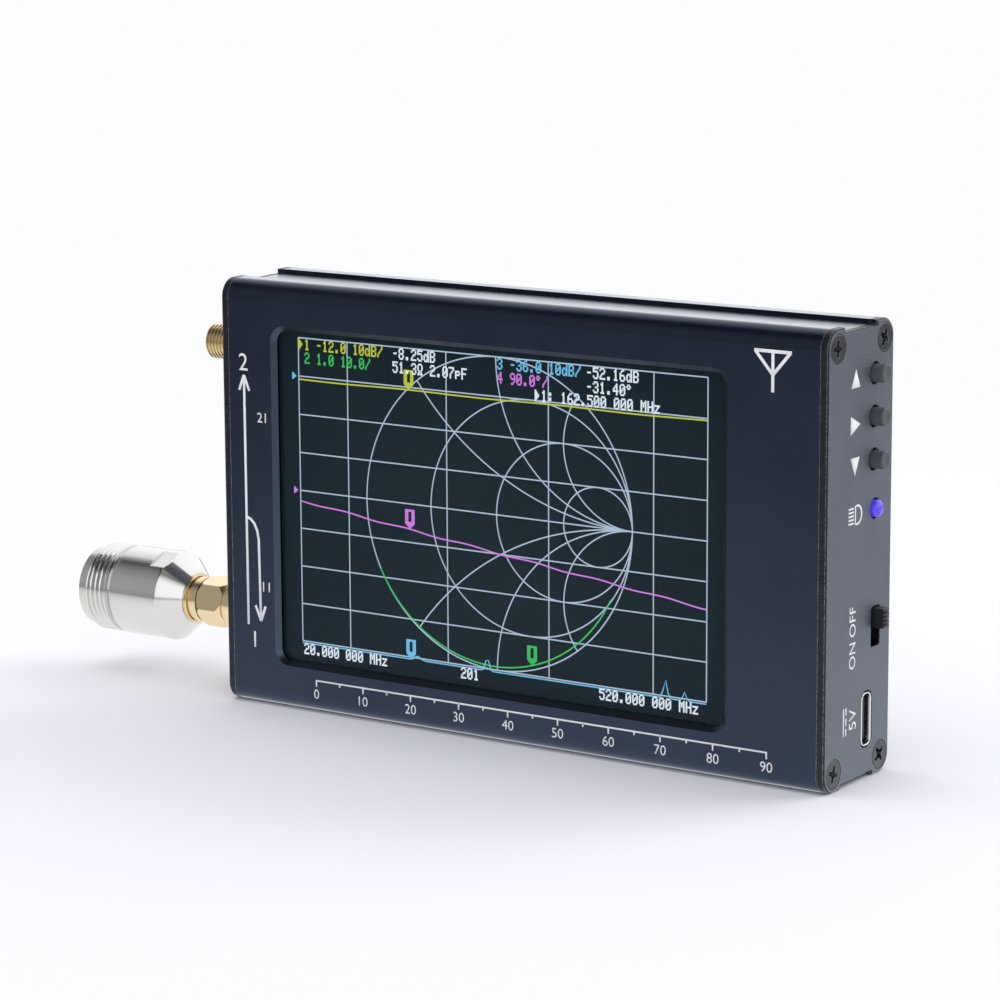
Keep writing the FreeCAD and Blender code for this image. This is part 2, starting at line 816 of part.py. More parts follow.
RIBBON_START = "(%s + panel_inset + tray_clearance + tray_wall)" % WINDOW_RIGHT
RIBBON_FAR = "(%s + ribbon_reach)" % RIBBON_START
RIBBON_FRONT = "(%s - ribbon_thickness - ribbon_inset)" % TRAY_BACK
RIBBON_LAND = "(board_front - ribbon_socket_depth / 2)"


def ribbon_limits():
    return diff(RIBBON_LEVEL, "ribbon_width / 2"), total(RIBBON_LEVEL, "ribbon_width / 2")


def display_ribbon():
    """The flat cable leaves the tray's end, turns back on itself and goes into its socket."""
    bend, outer = "ribbon_bend", "(ribbon_bend + ribbon_thickness)"
    straight = diff(RIBBON_FAR, outer)
    tail = diff(RIBBON_FAR, "ribbon_tail")
    front_out, front_in = RIBBON_FRONT, total(RIBBON_FRONT, "ribbon_thickness")
    back_out, back_in = RIBBON_LAND, diff(RIBBON_LAND, "ribbon_thickness")
    corners = [
        (RIBBON_START, front_out),
        (straight, front_out, (straight, total(front_out, outer))),
        (RIBBON_FAR, total(front_out, outer)),
        (RIBBON_FAR, diff(back_out, outer), (straight, diff(back_out, outer))),
        (straight, back_out), (tail, back_out), (tail, back_in),
        (straight, back_in, (straight, diff(back_in, bend))),
        (diff(RIBBON_FAR, "ribbon_thickness"), diff(back_in, bend)),
        (diff(RIBBON_FAR, "ribbon_thickness"), total(front_in, bend), (straight, total(front_in, bend))),
        (straight, front_in), (RIBBON_START, front_in),
    ]
    low, high = ribbon_limits()
    return prism("display_ribbon", "XY_Plane", corners, low, high)


def ribbon_socket():
    low, high = ribbon_limits()
    end = diff(RIBBON_FAR, "ribbon_tail")
    foot, head = diff(low, "ribbon_socket_rim"), total(high, "ribbon_socket_rim")
    low_corner = (diff(end, "ribbon_socket_length"), "board_front - ribbon_socket_depth", foot)
    return box("ribbon_socket", low_corner, (end, "board_front", head))


# main board and what it carries

def pillar_spots():
    ends = ("pillar_left - case_length / 2", "case_length / 2 - pillar_right")
    return [(across, level) for across in ends for level in ("pillar_low", from_top("pillar_high"))]


def main_board():
    low = total(WALL_TOP, "board_edge_gap")
    blank = box("board_blank", (BOARD_LEFT, "board_front", low), (BOARD_RIGHT, BOARD_BACK, from_top(low)))
    holes = [rod("board_hole_%d" % index, "y", (across, "board_front - overcut", level), "board_hole",
                 "board_thickness + 2 * overcut") for index, (across, level) in enumerate(pillar_spots())]
    return cut("main_board", blank, holes)


def board_pillars():
    """Threaded pillars that hold the board off the display tray."""
    pillars = []
    length = diff("board_front", TRAY_BACK)
    for index, (across, level) in enumerate(pillar_spots()):
        post = rod("pillar_post_%d" % index, "y", (across, TRAY_BACK, level), "pillar_radius", length)
        bore = rod("pillar_bore_%d" % index, "y", (across, total(TRAY_BACK, "pillar_floor"), level),
                   "pillar_bore", length)
        pillars.append(cut("pillar_%d" % index, post, [bore]))
    return group("board_pillars", pillars)


def board_screws():
    screws = []
    for index, (across, level) in enumerate(pillar_spots()):
        head = rod("board_screw_head_%d" % index, "y", (across, BOARD_BACK, level), "board_screw_head",
                   "board_screw_height")
        shank = rod("board_screw_shank_%d" % index, "y",
                    (across, diff(BOARD_BACK, "board_screw_length"), level),
                    "board_screw_radius", "board_screw_length")
        screws.append(fuse("board_screw_%d" % index, [head, shank]))
    return group("board_screws", screws)


def shield_can(label, level):
    """A pressed cover over one radio port's circuit, open towards the board."""
    left = "can_left - case_length / 2"
    low = (left, "board_front - can_height", "%s - can_width / 2" % level)
    high = (left + " + can_length", "board_front", "%s + can_width / 2" % level)
    outside = box(label + "_outside", low, high)
    inside = box(label + "_inside", [total(edge, "can_wall") for edge in low],
                 [diff(high[0], "can_wall"), "board_front + overcut", diff(high[2], "can_wall")])
    return cut(label, outside, [inside])


def chip(label, across, level, length, width, height):
    """A flat package on the front face of the board."""
    low = ("%s - %s / 2" % (across, length), "board_front - %s" % height, "%s - %s / 2" % (level, width))
    high = ("%s + %s / 2" % (across, length), "board_front", "%s + %s / 2" % (level, width))
    return box(label, low, high)


def processor():
    return chip("processor", "chip_across", CHIP_LEVEL, "chip_size", "chip_size", "chip_height")


def support_chips():
    left, right = "chip_across - chip_size", "chip_across + chip_size"
    low, high = CHIP_LEVEL + " - chip_size", CHIP_LEVEL + " + chip_size"
    spots = [(left, CHIP_LEVEL), ("chip_across", high), ("chip_across", low), (right, low)]
    chips = [chip("support_chip_%d" % index, across, level, "small_chip", "small_chip", "small_chip_height")
             for index, (across, level) in enumerate(spots)]
    return group("support_chips", chips)


def clock_crystal():
    return chip("clock_crystal", "chip_across + chip_size", CHIP_LEVEL, "crystal_length", "crystal_width",
                "crystal_height")


# battery, against the rear wall behind the board

BATTERY_BACK = "(case_depth / 2 - rear_wall - battery_foam)"
BATTERY_FRONT = "(board_front + board_thickness + board_screw_height + battery_gap)"
BATTERY_LEFT = "(battery_left - case_length / 2)"
BATTERY_RIGHT = "(battery_left + battery_length - case_length / 2)"
BATTERY_ROOM = "(case_depth / 2 - rear_wall - battery_foam - %s)" % BATTERY_FRONT
BATTERY_CORNER = "min(battery_corner; battery_corner_share * %s)" % BATTERY_ROOM


def battery():
    corners = rounded_corners(BATTERY_LEFT, BATTERY_RIGHT, BATTERY_FRONT, BATTERY_BACK, BATTERY_CORNER)
    return prism("battery", "XY_Plane", corners, "battery_low", "battery_low + battery_width")


def battery_foam():
    low = (BATTERY_LEFT + " + 2 * battery_corner", BATTERY_BACK, "battery_low + battery_corner")
    high = (diff(BATTERY_RIGHT, "2 * battery_corner"), "case_depth / 2 - rear_wall",
            "battery_low + battery_width - battery_corner")
    return box("battery_foam", low, high)


SOCKET_BACK = total(BOARD_BACK, "battery_plug_height")
PLUG_TAIL = "(%s + lead_length)" % BATTERY_RIGHT
PLUG_ACROSS = "(%s + battery_plug_tail)" % PLUG_TAIL
PLUG_LEVEL = "(battery_low + battery_plug_lift)"


def battery_socket():
    """The board's half of the battery connector, open towards the battery."""
    low = (PLUG_ACROSS, BOARD_BACK, PLUG_LEVEL + " - battery_plug_width / 2 - battery_socket_wall")
    high = (PLUG_ACROSS + " + battery_plug_length + battery_socket_wall",
            total(SOCKET_BACK, "2 * battery_socket_wall"),
            PLUG_LEVEL + " + battery_plug_width / 2 + battery_socket_wall")
    block = box("battery_socket_block", low, high)
    room = box("battery_socket_room",
               (PLUG_ACROSS + " - overcut", total(BOARD_BACK, "battery_socket_wall"),
                PLUG_LEVEL + " - battery_plug_width / 2"),
               (PLUG_ACROSS + " + battery_plug_length", total(SOCKET_BACK, "battery_socket_wall"),
                PLUG_LEVEL + " + battery_plug_width / 2"))
    return cut("battery_socket", block, [room])


def battery_plug():
    low = (PLUG_TAIL, total(BOARD_BACK, "battery_socket_wall + battery_plug_fit"),
           PLUG_LEVEL + " - battery_plug_width / 2 + battery_plug_fit")
    high = (PLUG_ACROSS + " + battery_plug_length - battery_plug_fit",
            total(SOCKET_BACK, "battery_socket_wall - battery_plug_fit"),
            PLUG_LEVEL + " + battery_plug_width / 2 - battery_plug_fit")
    return box("battery_plug", low, high)


def battery_leads():
    """Two short leads, straight from the battery's end to the back of its plug."""
    leads = []
    height = total(BOARD_BACK, "battery_socket_wall + battery_plug_height / 2")
    for index, side in enumerate(("-", "+")):
        level = "%s %s lead_spacing / 2" % (PLUG_LEVEL, side)
        start = (BATTERY_RIGHT, height, level)
        leads.append(rod("battery_lead_%d" % index, "x", start, "lead_radius", "lead_length"))
    return group("battery_leads", leads)


# push buttons

BUTTON_TIP = "(case_length / 2 + button_proud)"
SWITCH_FACE = "(case_length / 2 - plate_thickness - switch_gap)"
SWITCH_BACK = "(case_length / 2 - plate_thickness - switch_gap - switch_body)"
BUTTON_ROOT = "(case_length / 2 - plate_thickness - switch_gap - switch_body / 2)"


def button(label, level):
    """A round push rod with a softened outer edge; its root sits in its switch."""
    corners = [
        (BUTTON_ROOT, "0"), (BUTTON_TIP, "0"), (BUTTON_TIP, "button_radius - button_round"),
        (diff(BUTTON_TIP, "button_round"), "button_radius"), (BUTTON_ROOT, "button_radius"),
    ]
    return turned(label, corners, y="button_setback", z=level)


def push_switch(label, level):
    """A side-acting switch: a square body on the board with a bore that the button slides in."""
    half = "switch_width / 2"
    body = box(label + "_body", (SWITCH_BACK, BOARD_BACK, diff(level, half)),
               (diff(SWITCH_FACE, "switch_cover"), total("button_setback", half), total(level, half)))
    root = diff(BUTTON_ROOT, "button_travel + button_stop")
    bore = rod(label + "_bore", "x", (root, "button_setback", level), "button_radius + button_fit",
               diff(HALF_LENGTH, root))
    return cut(label, body, [bore])


def switch_covers():
    """The sheet covers that hold the three switches together, one on each."""
    covers = []
    half = "(switch_width / 2)"
    for index, level in enumerate(button_levels()):
        name = "switch_cover_%d" % index
        low = (diff(SWITCH_FACE, "switch_cover"), BOARD_BACK, diff(level, half))
        high = (SWITCH_FACE, total("button_setback", half), total(level, half))
        sheet_metal = box(name + "_sheet", low, high)
        hole = rod(name + "_hole", "x", (SWITCH_BACK, "button_setback", level), "button_hole",
                   "switch_body + overcut")
        covers.append(cut(name, sheet_metal, [hole]))
    return group("switch_covers", covers)


# power slide switch

SLIDER_BACK = "(case_length / 2 - plate_thickness - switch_gap - slider_body_depth)"
SLIDER_ROOT = "(%s + slider_body_wall + slider_back_gap)" % SLIDER_BACK
SLIDER_TIP = "(case_length / 2 + slider_proud)"
GROOVES = 4


def power_switch():
    """The housing of the slide switch, open towards the end plate."""
    half_width = "(slider_width / 2 + slider_body_wall)"
    half_height = "(slider_height / 2 + slider_travel / 2 + slider_body_wall)"
    block = box("power_switch_block", (SLIDER_BACK, BOARD_BACK, diff(SLOT_MIDDLE, half_height)),
                (SWITCH_FACE, total("slider_setback", half_width), total(SLOT_MIDDLE, half_height)))
    room = box("power_switch_room",
               (total(SLIDER_BACK, "slider_body_wall"), "slider_setback - slider_width / 2 - slider_fit",
                diff(SLOT_MIDDLE, "(slider_height + slider_travel) / 2 + slider_slot")),
               (total(SWITCH_FACE, "overcut"), "slider_setback + slider_width / 2 + slider_fit",
                total(SLOT_MIDDLE, "(slider_height + slider_travel) / 2 + slider_slot")))
    return cut("power_switch", block, [room])


def power_slider():
    """The slide switch's knob, with ribs across its outer end."""
    low_z, high_z = "slider_level - slider_height / 2", "slider_level + slider_height / 2"
    near_y, far_y = "slider_setback - slider_width / 2", "slider_setback + slider_width / 2"
    knob = box("power_slider_knob", (SLIDER_ROOT, near_y, low_z), (SLIDER_TIP, far_y, high_z))
    grooves = []
    for index in range(1, GROOVES + 1):
        middle = "%s + %d * slider_height / %d" % (low_z, index, GROOVES + 1)
        low = (diff(SLIDER_TIP, "slider_rib_depth"), near_y + " - overcut", diff(middle, "slider_rib / 2"))
        high = (total(SLIDER_TIP, "overcut"), far_y + " + overcut", total(middle, "slider_rib / 2"))
        grooves.append(box("power_slider_groove_%d" % index, low, high))
    return cut("power_slider", knob, grooves)


# status lamp

def status_lamp():
    """A round lamp with a domed end, a flange behind the plate and two legs to the board."""
    dome_start = total(HALF_LENGTH, "lamp_proud - lamp_radius")
    root = diff(INNER_END, "lamp_depth")
    flange_face = total(root, "lamp_flange_thickness")
    corners = [
        (root, "0"), (total(HALF_LENGTH, "lamp_proud"), "0", (dome_start, "0")),
        (dome_start, "lamp_radius"), (flange_face, "lamp_radius"),
        (flange_face, "lamp_flange"), (root, "lamp_flange"),
    ]
    lens = turned("status_lamp_lens", corners, y="lamp_setback", z=LAMP_LEVEL)
    legs = []
    for index, side in enumerate(("-", "+")):
        middle = "%s %s 2 * lamp_leg" % (LAMP_LEVEL, side)
        legs.append(box("status_lamp_leg_%d" % index,
                        (diff(root, "lamp_leg"), BOARD_BACK, diff(middle, "lamp_leg / 2")),
                        (root, total("lamp_setback", "lamp_leg / 2"), total(middle, "lamp_leg / 2"))))
    return fuse("status_lamp", [lens] + legs)


# power socket

POWER_BACK = "(case_length / 2 - power_length)"


def power_shell():
    """The socket's drawn shell, closed at the back."""
    outside = slot_prism("power_shell_outside", POWER_MIDDLE, "power_level", "power_height", "power_width",
                         "power_round", POWER_BACK, HALF_LENGTH)
    inside = slot_prism("power_shell_inside", POWER_MIDDLE, "power_level", "power_height - 2 * power_wall",
                        "power_width - 2 * power_wall", "power_round - power_wall",
                        total(POWER_BACK, "power_wall"), total(HALF_LENGTH, "overcut"))
    return cut("power_shell", outside, [inside])


def power_tongue():
    """The socket's contact tongue on its base block."""
    start = total(POWER_BACK, "power_wall")
    base = slot_prism("power_tongue_base", POWER_MIDDLE, "power_level", "power_height - 2 * power_wall",
                      "power_width - 2 * power_wall", "power_round - power_wall", start,
                      total(start, "tongue_base"))
    blade = box("power_tongue_blade",
                (start, diff(POWER_MIDDLE, "tongue_thickness / 2"), "power_level - tongue_width / 2"),
                (total(start, "tongue_base + tongue_length"), total(POWER_MIDDLE, "tongue_thickness / 2"),
                 "power_level + tongue_width / 2"))
    return fuse("power_tongue", [base, blade])


# radio ports

PORT_TIP = "(-case_length / 2 - port_tip)"
PORT_FLOOR = "(-case_length / 2 - port_tip + port_mouth_depth)"
PORT_ROOT = "(plate_thickness + port_flange_thickness - case_length / 2)"
PORT_THREAD_START = "(port_thread_length - port_tip - case_length / 2)"


def port_body(label, level):
    """A threaded jack: a square flange behind the plate, legs that grip the board, and the barrel."""
    corners = [
        (PORT_TIP, "port_mouth_radius"), (PORT_TIP, "port_thread_radius - port_bevel"),
        (total(PORT_TIP, "port_bevel"), "port_thread_radius"), (PORT_THREAD_START, "port_thread_radius"),
        (PORT_THREAD_START, "port_relief_radius"), ("-" + INNER_END, "port_relief_radius"),
        ("-" + INNER_END, "port_liner_radius"), (PORT_FLOOR, "port_liner_radius"),
        (PORT_FLOOR, "port_mouth_radius"),
    ]
    threads = (total(PORT_TIP, "port_bevel"), "port_thread_radius", "port_thread_pitch",
               "port_thread_depth", "port_thread_turns")
    barrel = turned(label + "_barrel", corners, y=PORT_AXIS, z=level, threads=threads)
    half_height, half_width = "port_flange_height / 2", "port_flange_width / 2"
    flange = box(label + "_flange",
                 ("-" + INNER_END, diff(PORT_AXIS, half_height), diff(level, half_width)),
                 (PORT_ROOT, total(PORT_AXIS, half_height), total(level, half_width)))
    bore = rod(label + "_bore", "x", ("-" + INNER_END + " - overcut", PORT_AXIS, level),
               "port_liner_radius", "port_flange_thickness + 2 * overcut")
    legs = []
    for index, side in enumerate(("-", "+")):
        for face, (low, high) in enumerate((("board_front - port_leg_height", "board_front"),
                                            (BOARD_BACK, total(BOARD_BACK, "port_leg_height")))):
            middle = "%s %s (port_flange_width - port_leg_width) / 2" % (level, side)
            near = (PORT_ROOT, low, diff(middle, "port_leg_width / 2"))
            far = (total(PORT_ROOT, "port_leg_length"), high, total(middle, "port_leg_width / 2"))
            legs.append(box("%s_leg_%d%d" % (label, index, face), near, far))
    plain = fuse(label + "_blank", [barrel, flange] + legs)
    slot = box(label + "_board_slot", (BOARD_LEFT, "board_front", diff(level, "port_flange_width")),
               (total(PORT_ROOT, "overcut"), BOARD_BACK, total(level, "port_flange_width")))
    return cut(label, plain, [bore, slot])


def port_liner(label, level):
    """White insulation between the barrel and the contact."""
    corners = [
        (PORT_FLOOR, "port_contact_radius"), (PORT_FLOOR, "port_liner_radius"),
        (BOARD_LEFT, "port_liner_radius"), (BOARD_LEFT, "port_contact_radius"),
    ]
    return turned(label, corners, y=PORT_AXIS, z=level)


def port_contact(label, level):
    """The centre contact, a socket at its outer end."""
    floor = total(PORT_FLOOR, "port_contact_depth")
    corners = [
        (PORT_FLOOR, "port_contact_bore"), (PORT_FLOOR, "port_contact_radius"),
        (BOARD_LEFT, "port_contact_radius"), (BOARD_LEFT, "0"),
        (floor, "0"), (floor, "port_contact_bore"),
    ]
    return turned(label, corners, y=PORT_AXIS, z=level)


def turned_bar(label, corners, low, high, level, turn):
    """A bar along X on a port's axis, turned about that axis by a stated angle in degrees."""
    body = prism(label, "YZ_Plane", corners, low, high)
    turning = FreeCAD.Rotation(FreeCAD.Vector(1, 0, 0), number(turn))
    body.Placement = FreeCAD.Placement(FreeCAD.Vector(), turning)
    return place(body, low, PORT_AXIS, level)


def chamfer_cone(label, flats, low, high, bevel, level):
    """The turned blank that takes the corners off a hexagon at both ends."""
    reach, face = "(%s / sqrt(3))" % flats, "(%s / sqrt(3) - %s)" % (flats, bevel)
    corners = [
        (low, "0"), (low, face), (total(low, bevel + " / 2"), reach),
        (diff(high, bevel + " / 2"), reach), (high, face), (high, "0"),
    ]
    return turned(label, corners, y=PORT_AXIS, z=level)


def port_nut(label, level):
    high = "-case_length / 2 - washer_thickness"
    low = "-case_length / 2 - washer_thickness - nut_thickness"
    blank = common(label + "_blank", [
        turned_bar(label + "_hexagon", hexagon("nut_flats"), low, high, level, "0"),
        chamfer_cone(label + "_round", "nut_flats", low, high, "nut_bevel", level),
    ])
    bore = rod(label + "_bore", "x", (diff(low, "overcut"), PORT_AXIS, level),
               "port_relief_radius + nut_fit", "nut_thickness + 2 * overcut")
    return cut(label, blank, [bore])


def port_washer(label, level):
    disc = rod(label + "_disc", "x", ("-case_length / 2 - washer_thickness", PORT_AXIS, level),
               "washer_radius", "washer_thickness")
    bore = rod(label + "_bore", "x", ("-case_length / 2 - washer_thickness - overcut", PORT_AXIS, level),
               "port_relief_radius + nut_fit", "washer_thickness + 2 * overcut")
    return cut(label, disc, [bore])


# adapter, from the wide thread at its far end to the plug in the lower port

ADAPTER_END = "(-case_length / 2 - adapter_end)"
ADAPTER_THREAD = "(adapter_lead_length - adapter_end - case_length / 2)"
ADAPTER_THREAD_END = "(%s + adapter_thread_length)" % ADAPTER_THREAD
ADAPTER_BODY_END = "(-case_length / 2 - adapter_body_end)"
ADAPTER_CONE_END = "(-case_length / 2 - adapter_cone_end)"
ADAPTER_FLOOR = "(adapter_mouth_depth - adapter_end - case_length / 2)"
NUT_BACK = "(-case_length / 2 - coupling_back)"
NUT_FRONT = "(-case_length / 2 - coupling_front)"
WEB_FRONT = "(coupling_web - coupling_back - case_length / 2)"


def adapter_body():
    """The turned shell: lead, thread, shoulder, cone, two wrench flats, and the wide socket's mouth."""
    thread_root = "adapter_thread_radius - adapter_thread_depth"
    corners = [
        (ADAPTER_END, "adapter_mouth_radius + adapter_mouth_bevel"), (ADAPTER_END, "adapter_lead_radius"),
        (ADAPTER_THREAD, "adapter_lead_radius"), (ADAPTER_THREAD, "adapter_thread_radius"),
        (ADAPTER_THREAD_END, "adapter_thread_radius"), (ADAPTER_THREAD_END, thread_root),
        (total(ADAPTER_THREAD_END, "adapter_shoulder"), "adapter_radius"),
        (ADAPTER_BODY_END, "adapter_radius"), (ADAPTER_CONE_END, "adapter_neck_radius"),
        (ADAPTER_CONE_END, "adapter_neck_bore"), (ADAPTER_FLOOR, "adapter_neck_bore"),
        (ADAPTER_FLOOR, "adapter_mouth_radius"),
        (total(ADAPTER_END, "adapter_mouth_bevel"), "adapter_mouth_radius"),
    ]
    threads = (ADAPTER_THREAD, "adapter_thread_radius", "adapter_thread_pitch", "adapter_thread_depth",
               "adapter_thread_turns")
    blank = turned("adapter_blank", corners, y=PORT_AXIS, z="port_low", threads=threads)
    return cut("adapter_body", blank, [adapter_flats_tool()])


def adapter_flats_tool():
    """What the two wrench flats take off: a ring less a bar as thick as they are apart."""
    low, high = "-case_length / 2 - adapter_flats_back", ADAPTER_CONE_END
    ring = rod("adapter_flats_ring", "x", (low, PORT_AXIS, "port_low"), "adapter_radius + overcut",
               diff(high, low))
    wide, thick = "(adapter_radius + 2 * overcut)", "(adapter_flats / 2)"
    corners = [("-" + wide, "-" + thick), (wide, "-" + thick), (wide, thick), ("-" + wide, thick)]
    core = turned_bar("adapter_flats_core", corners, diff(low, "overcut"), total(high, "overcut"),
                      "port_low", "adapter_flats_turn")
    return cut("adapter_flats_cutter", ring, [core])


def adapter_liner():
    """White insulation at the bottom of the wide socket."""
    high = ADAPTER_FLOOR
    low = diff(ADAPTER_FLOOR, "adapter_liner_thickness")
    corners = [(low, "adapter_contact_radius"), (low, "adapter_mouth_radius"),
               (high, "adapter_mouth_radius"), (high, "adapter_contact_radius")]
    return turned("adapter_liner", corners, y=PORT_AXIS, z="port_low")


SLEEVE_TIP = "(%s - reference_gap)" % PORT_FLOOR
PIN_TIP = "(%s + pin_reach)" % SLEEVE_TIP


def adapter_contact():
    """One contact right through: a wide socket at one end and the plug's pin at the other."""
    mouth = total(ADAPTER_END, "adapter_contact_setback")
    floor = total(mouth, "adapter_contact_depth")
    corners = [
        (mouth, "adapter_contact_bore"), (mouth, "adapter_contact_radius"),
        (ADAPTER_FLOOR, "adapter_contact_radius"), (ADAPTER_FLOOR, "port_contact_radius"),
        (SLEEVE_TIP, "port_contact_radius"), (SLEEVE_TIP, "pin_radius"),
        (diff(PIN_TIP, "pin_taper"), "pin_radius"), (PIN_TIP, "pin_tip_radius"), (PIN_TIP, "0"),
        (floor, "0"), (floor, "adapter_contact_bore"),
    ]
    return turned("adapter_contact", corners, y=PORT_AXIS, z="port_low")


def adapter_ferrule():
    """The gilt plug end: a ring against the cone, a grooved collar, and the sleeve in the port."""
    back = diff(NUT_BACK, "coupling_gap")
    groove_low = total(ADAPTER_CONE_END, "ferrule_ring_length")
    groove_high = total(groove_low, "ferrule_groove")
    shoulder_back = total(WEB_FRONT, "coupling_gap")
    shoulder_front = diff(PORT_TIP, "coupling_gap")
    corners = [
        (ADAPTER_CONE_END, "port_liner_radius"), (ADAPTER_CONE_END, "ferrule_ring_radius"),
        (groove_low, "ferrule_ring_radius"), (groove_low, "ferrule_radius - ferrule_groove"),
        (groove_high, "ferrule_radius - ferrule_groove"), (groove_high, "ferrule_radius"),
        (back, "ferrule_radius"), (back, "ferrule_neck"), (shoulder_back, "ferrule_neck"),
        (shoulder_back, "ferrule_shoulder"), (shoulder_front, "ferrule_shoulder"),
        (shoulder_front, "ferrule_sleeve"), (SLEEVE_TIP, "ferrule_sleeve"),
        (SLEEVE_TIP, "port_liner_radius"),
    ]
    return turned("adapter_ferrule", corners, y=PORT_AXIS, z="port_low")


def plug_liner():
    """White insulation inside the plug's sleeve, round the through contact."""
    corners = [(ADAPTER_CONE_END, "port_contact_radius"), (ADAPTER_CONE_END, "port_liner_radius"),
               (SLEEVE_TIP, "port_liner_radius"), (SLEEVE_TIP, "port_contact_radius")]
    return turned("plug_liner", corners, y=PORT_AXIS, z="port_low")


def neck_liner():
    """White insulation where the through contact passes the adapter's neck."""
    corners = [(ADAPTER_FLOOR, "port_contact_radius"), (ADAPTER_FLOOR, "adapter_neck_bore"),
               (ADAPTER_CONE_END, "adapter_neck_bore"), (ADAPTER_CONE_END, "port_contact_radius")]
    return turned("neck_liner", corners, y=PORT_AXIS, z="port_low")


def coupling_nut():
    """The hexagon nut that turns on the plug and pulls it onto the port."""
    blank = common("coupling_blank", [
        turned_bar("coupling_hexagon", hexagon("coupling_flats"), NUT_BACK, NUT_FRONT, "port_low",
                   "coupling_turn"),
        chamfer_cone("coupling_round", "coupling_flats", NUT_BACK, NUT_FRONT, "nut_bevel", "port_low"),
    ])
    wide = rod("coupling_wide_bore", "x", (WEB_FRONT, PORT_AXIS, "port_low"),
               "port_thread_radius + coupling_fit", diff(NUT_FRONT, WEB_FRONT) + " + overcut")
    narrow = rod("coupling_narrow_bore", "x", (NUT_BACK + " - overcut", PORT_AXIS, "port_low"),
                 "ferrule_neck + coupling_fit", "coupling_web + 2 * overcut")
    return cut("coupling_nut", blank, [wide, narrow])


NODES = [
    front_shell(),
    rear_shell(),
    left_end_plate(),
    right_end_plate(),
    plate_screws("left_plate_screws", -1),
    plate_screws("right_plate_screws", 1),
    display_tape(),
    touch_glass(),
    display_panel(),
    backlight_tray(),
    display_ribbon(),
    ribbon_socket(),
    main_board(),
    board_pillars(),
    board_screws(),
    shield_can("upper_shield_can", from_top("can_high")),
    shield_can("lower_shield_can", "can_low"),
    processor(),
    support_chips(),
    clock_crystal(),
    battery(),
    battery_foam(),
    battery_socket(),
    battery_plug(),
    battery_leads(),
    switch_covers(),
    power_switch(),
    power_slider(),
    status_lamp(),
    power_shell(),
    power_tongue(),
    adapter_body(),
    adapter_liner(),
    adapter_contact(),
    adapter_ferrule(),
    plug_liner(),
    neck_liner(),
    coupling_nut(),
]
for place_name, button_height in zip(("upper", "middle", "lower"), button_levels()):
    NODES.append(button(place_name + "_button", button_height))
    NODES.append(push_switch(place_name + "_push_switch", button_height))
for port_name, port_height in (("upper", PORT_HIGH), ("lower", "port_low")):
    NODES.append(port_body(port_name + "_port", port_height))
    NODES.append(port_liner(port_name + "_port_liner", port_height))
    NODES.append(port_contact(port_name + "_port_contact", port_height))
    NODES.append(port_nut(port_name + "_port_nut", port_height))
    NODES.append(port_washer(port_name + "_port_washer", port_height))

doc.recompute()


def check_document():
    """Stops the build if any object failed or any sub-part has no sound shape."""
    for thing in doc.Objects:
        faults = [state for state in thing.State if state in ("Invalid", "Error")]
        if faults:
            raise RuntimeError("%s failed: %s" % (thing.Label, faults))
    for node in NODES:
        if node.Shape.isNull() or not node.Shape.isValid() or not node.Shape.Solids:
            raise RuntimeError("%s has no sound shape" % node.Label)


check_document()
for node in NODES:
    node.Shape.exportStep("parts/%s.step" % node.Label)
    print(node.Label, len(node.Shape.Solids), round(node.Shape.Volume, 2))
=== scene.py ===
import math
import bmesh
import bpy
import numpy as np
from mathutils import Matrix, Vector
from mathutils.geometry import delaunay_2d_cdt

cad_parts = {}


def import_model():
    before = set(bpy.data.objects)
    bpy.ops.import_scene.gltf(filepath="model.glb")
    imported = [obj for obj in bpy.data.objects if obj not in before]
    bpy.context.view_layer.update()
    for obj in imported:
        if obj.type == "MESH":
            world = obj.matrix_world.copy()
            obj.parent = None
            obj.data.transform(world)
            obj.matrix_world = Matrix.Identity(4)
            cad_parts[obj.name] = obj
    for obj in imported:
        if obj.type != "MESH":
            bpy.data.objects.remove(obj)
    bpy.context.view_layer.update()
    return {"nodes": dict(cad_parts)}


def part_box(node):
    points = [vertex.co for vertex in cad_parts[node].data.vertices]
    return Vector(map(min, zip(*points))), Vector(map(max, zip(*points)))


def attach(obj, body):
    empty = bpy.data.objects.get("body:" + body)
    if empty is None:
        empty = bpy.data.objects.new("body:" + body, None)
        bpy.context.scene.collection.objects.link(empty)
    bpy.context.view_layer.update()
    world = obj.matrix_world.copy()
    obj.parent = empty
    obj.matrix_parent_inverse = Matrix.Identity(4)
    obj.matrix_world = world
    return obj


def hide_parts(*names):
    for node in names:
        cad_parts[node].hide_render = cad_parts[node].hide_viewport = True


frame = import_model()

# Handheld antenna analyzer on a bench. Lengths are written in millimetres and turned into metres
# where a mesh is made. X runs towards the buttons, the screen faces -Y, and Z is up.

MM = 0.001

HALF_LENGTH = 60.0
HALF_DEPTH = 10.8
HEIGHT = 75.0
PLATE = 1.5
PORT_Y = 0.7
PORT_LOW = 14.3
FACE_Y = -HALF_DEPTH
PANEL_Y = -8.5
PRINT_THICK = 0.02
LIFT = 0.001


# Meshes.

def new_object(name, data):
    """An object for some data, in the scene."""
    made = bpy.data.objects.new(name, data)
    bpy.context.scene.collection.objects.link(made)
    return made


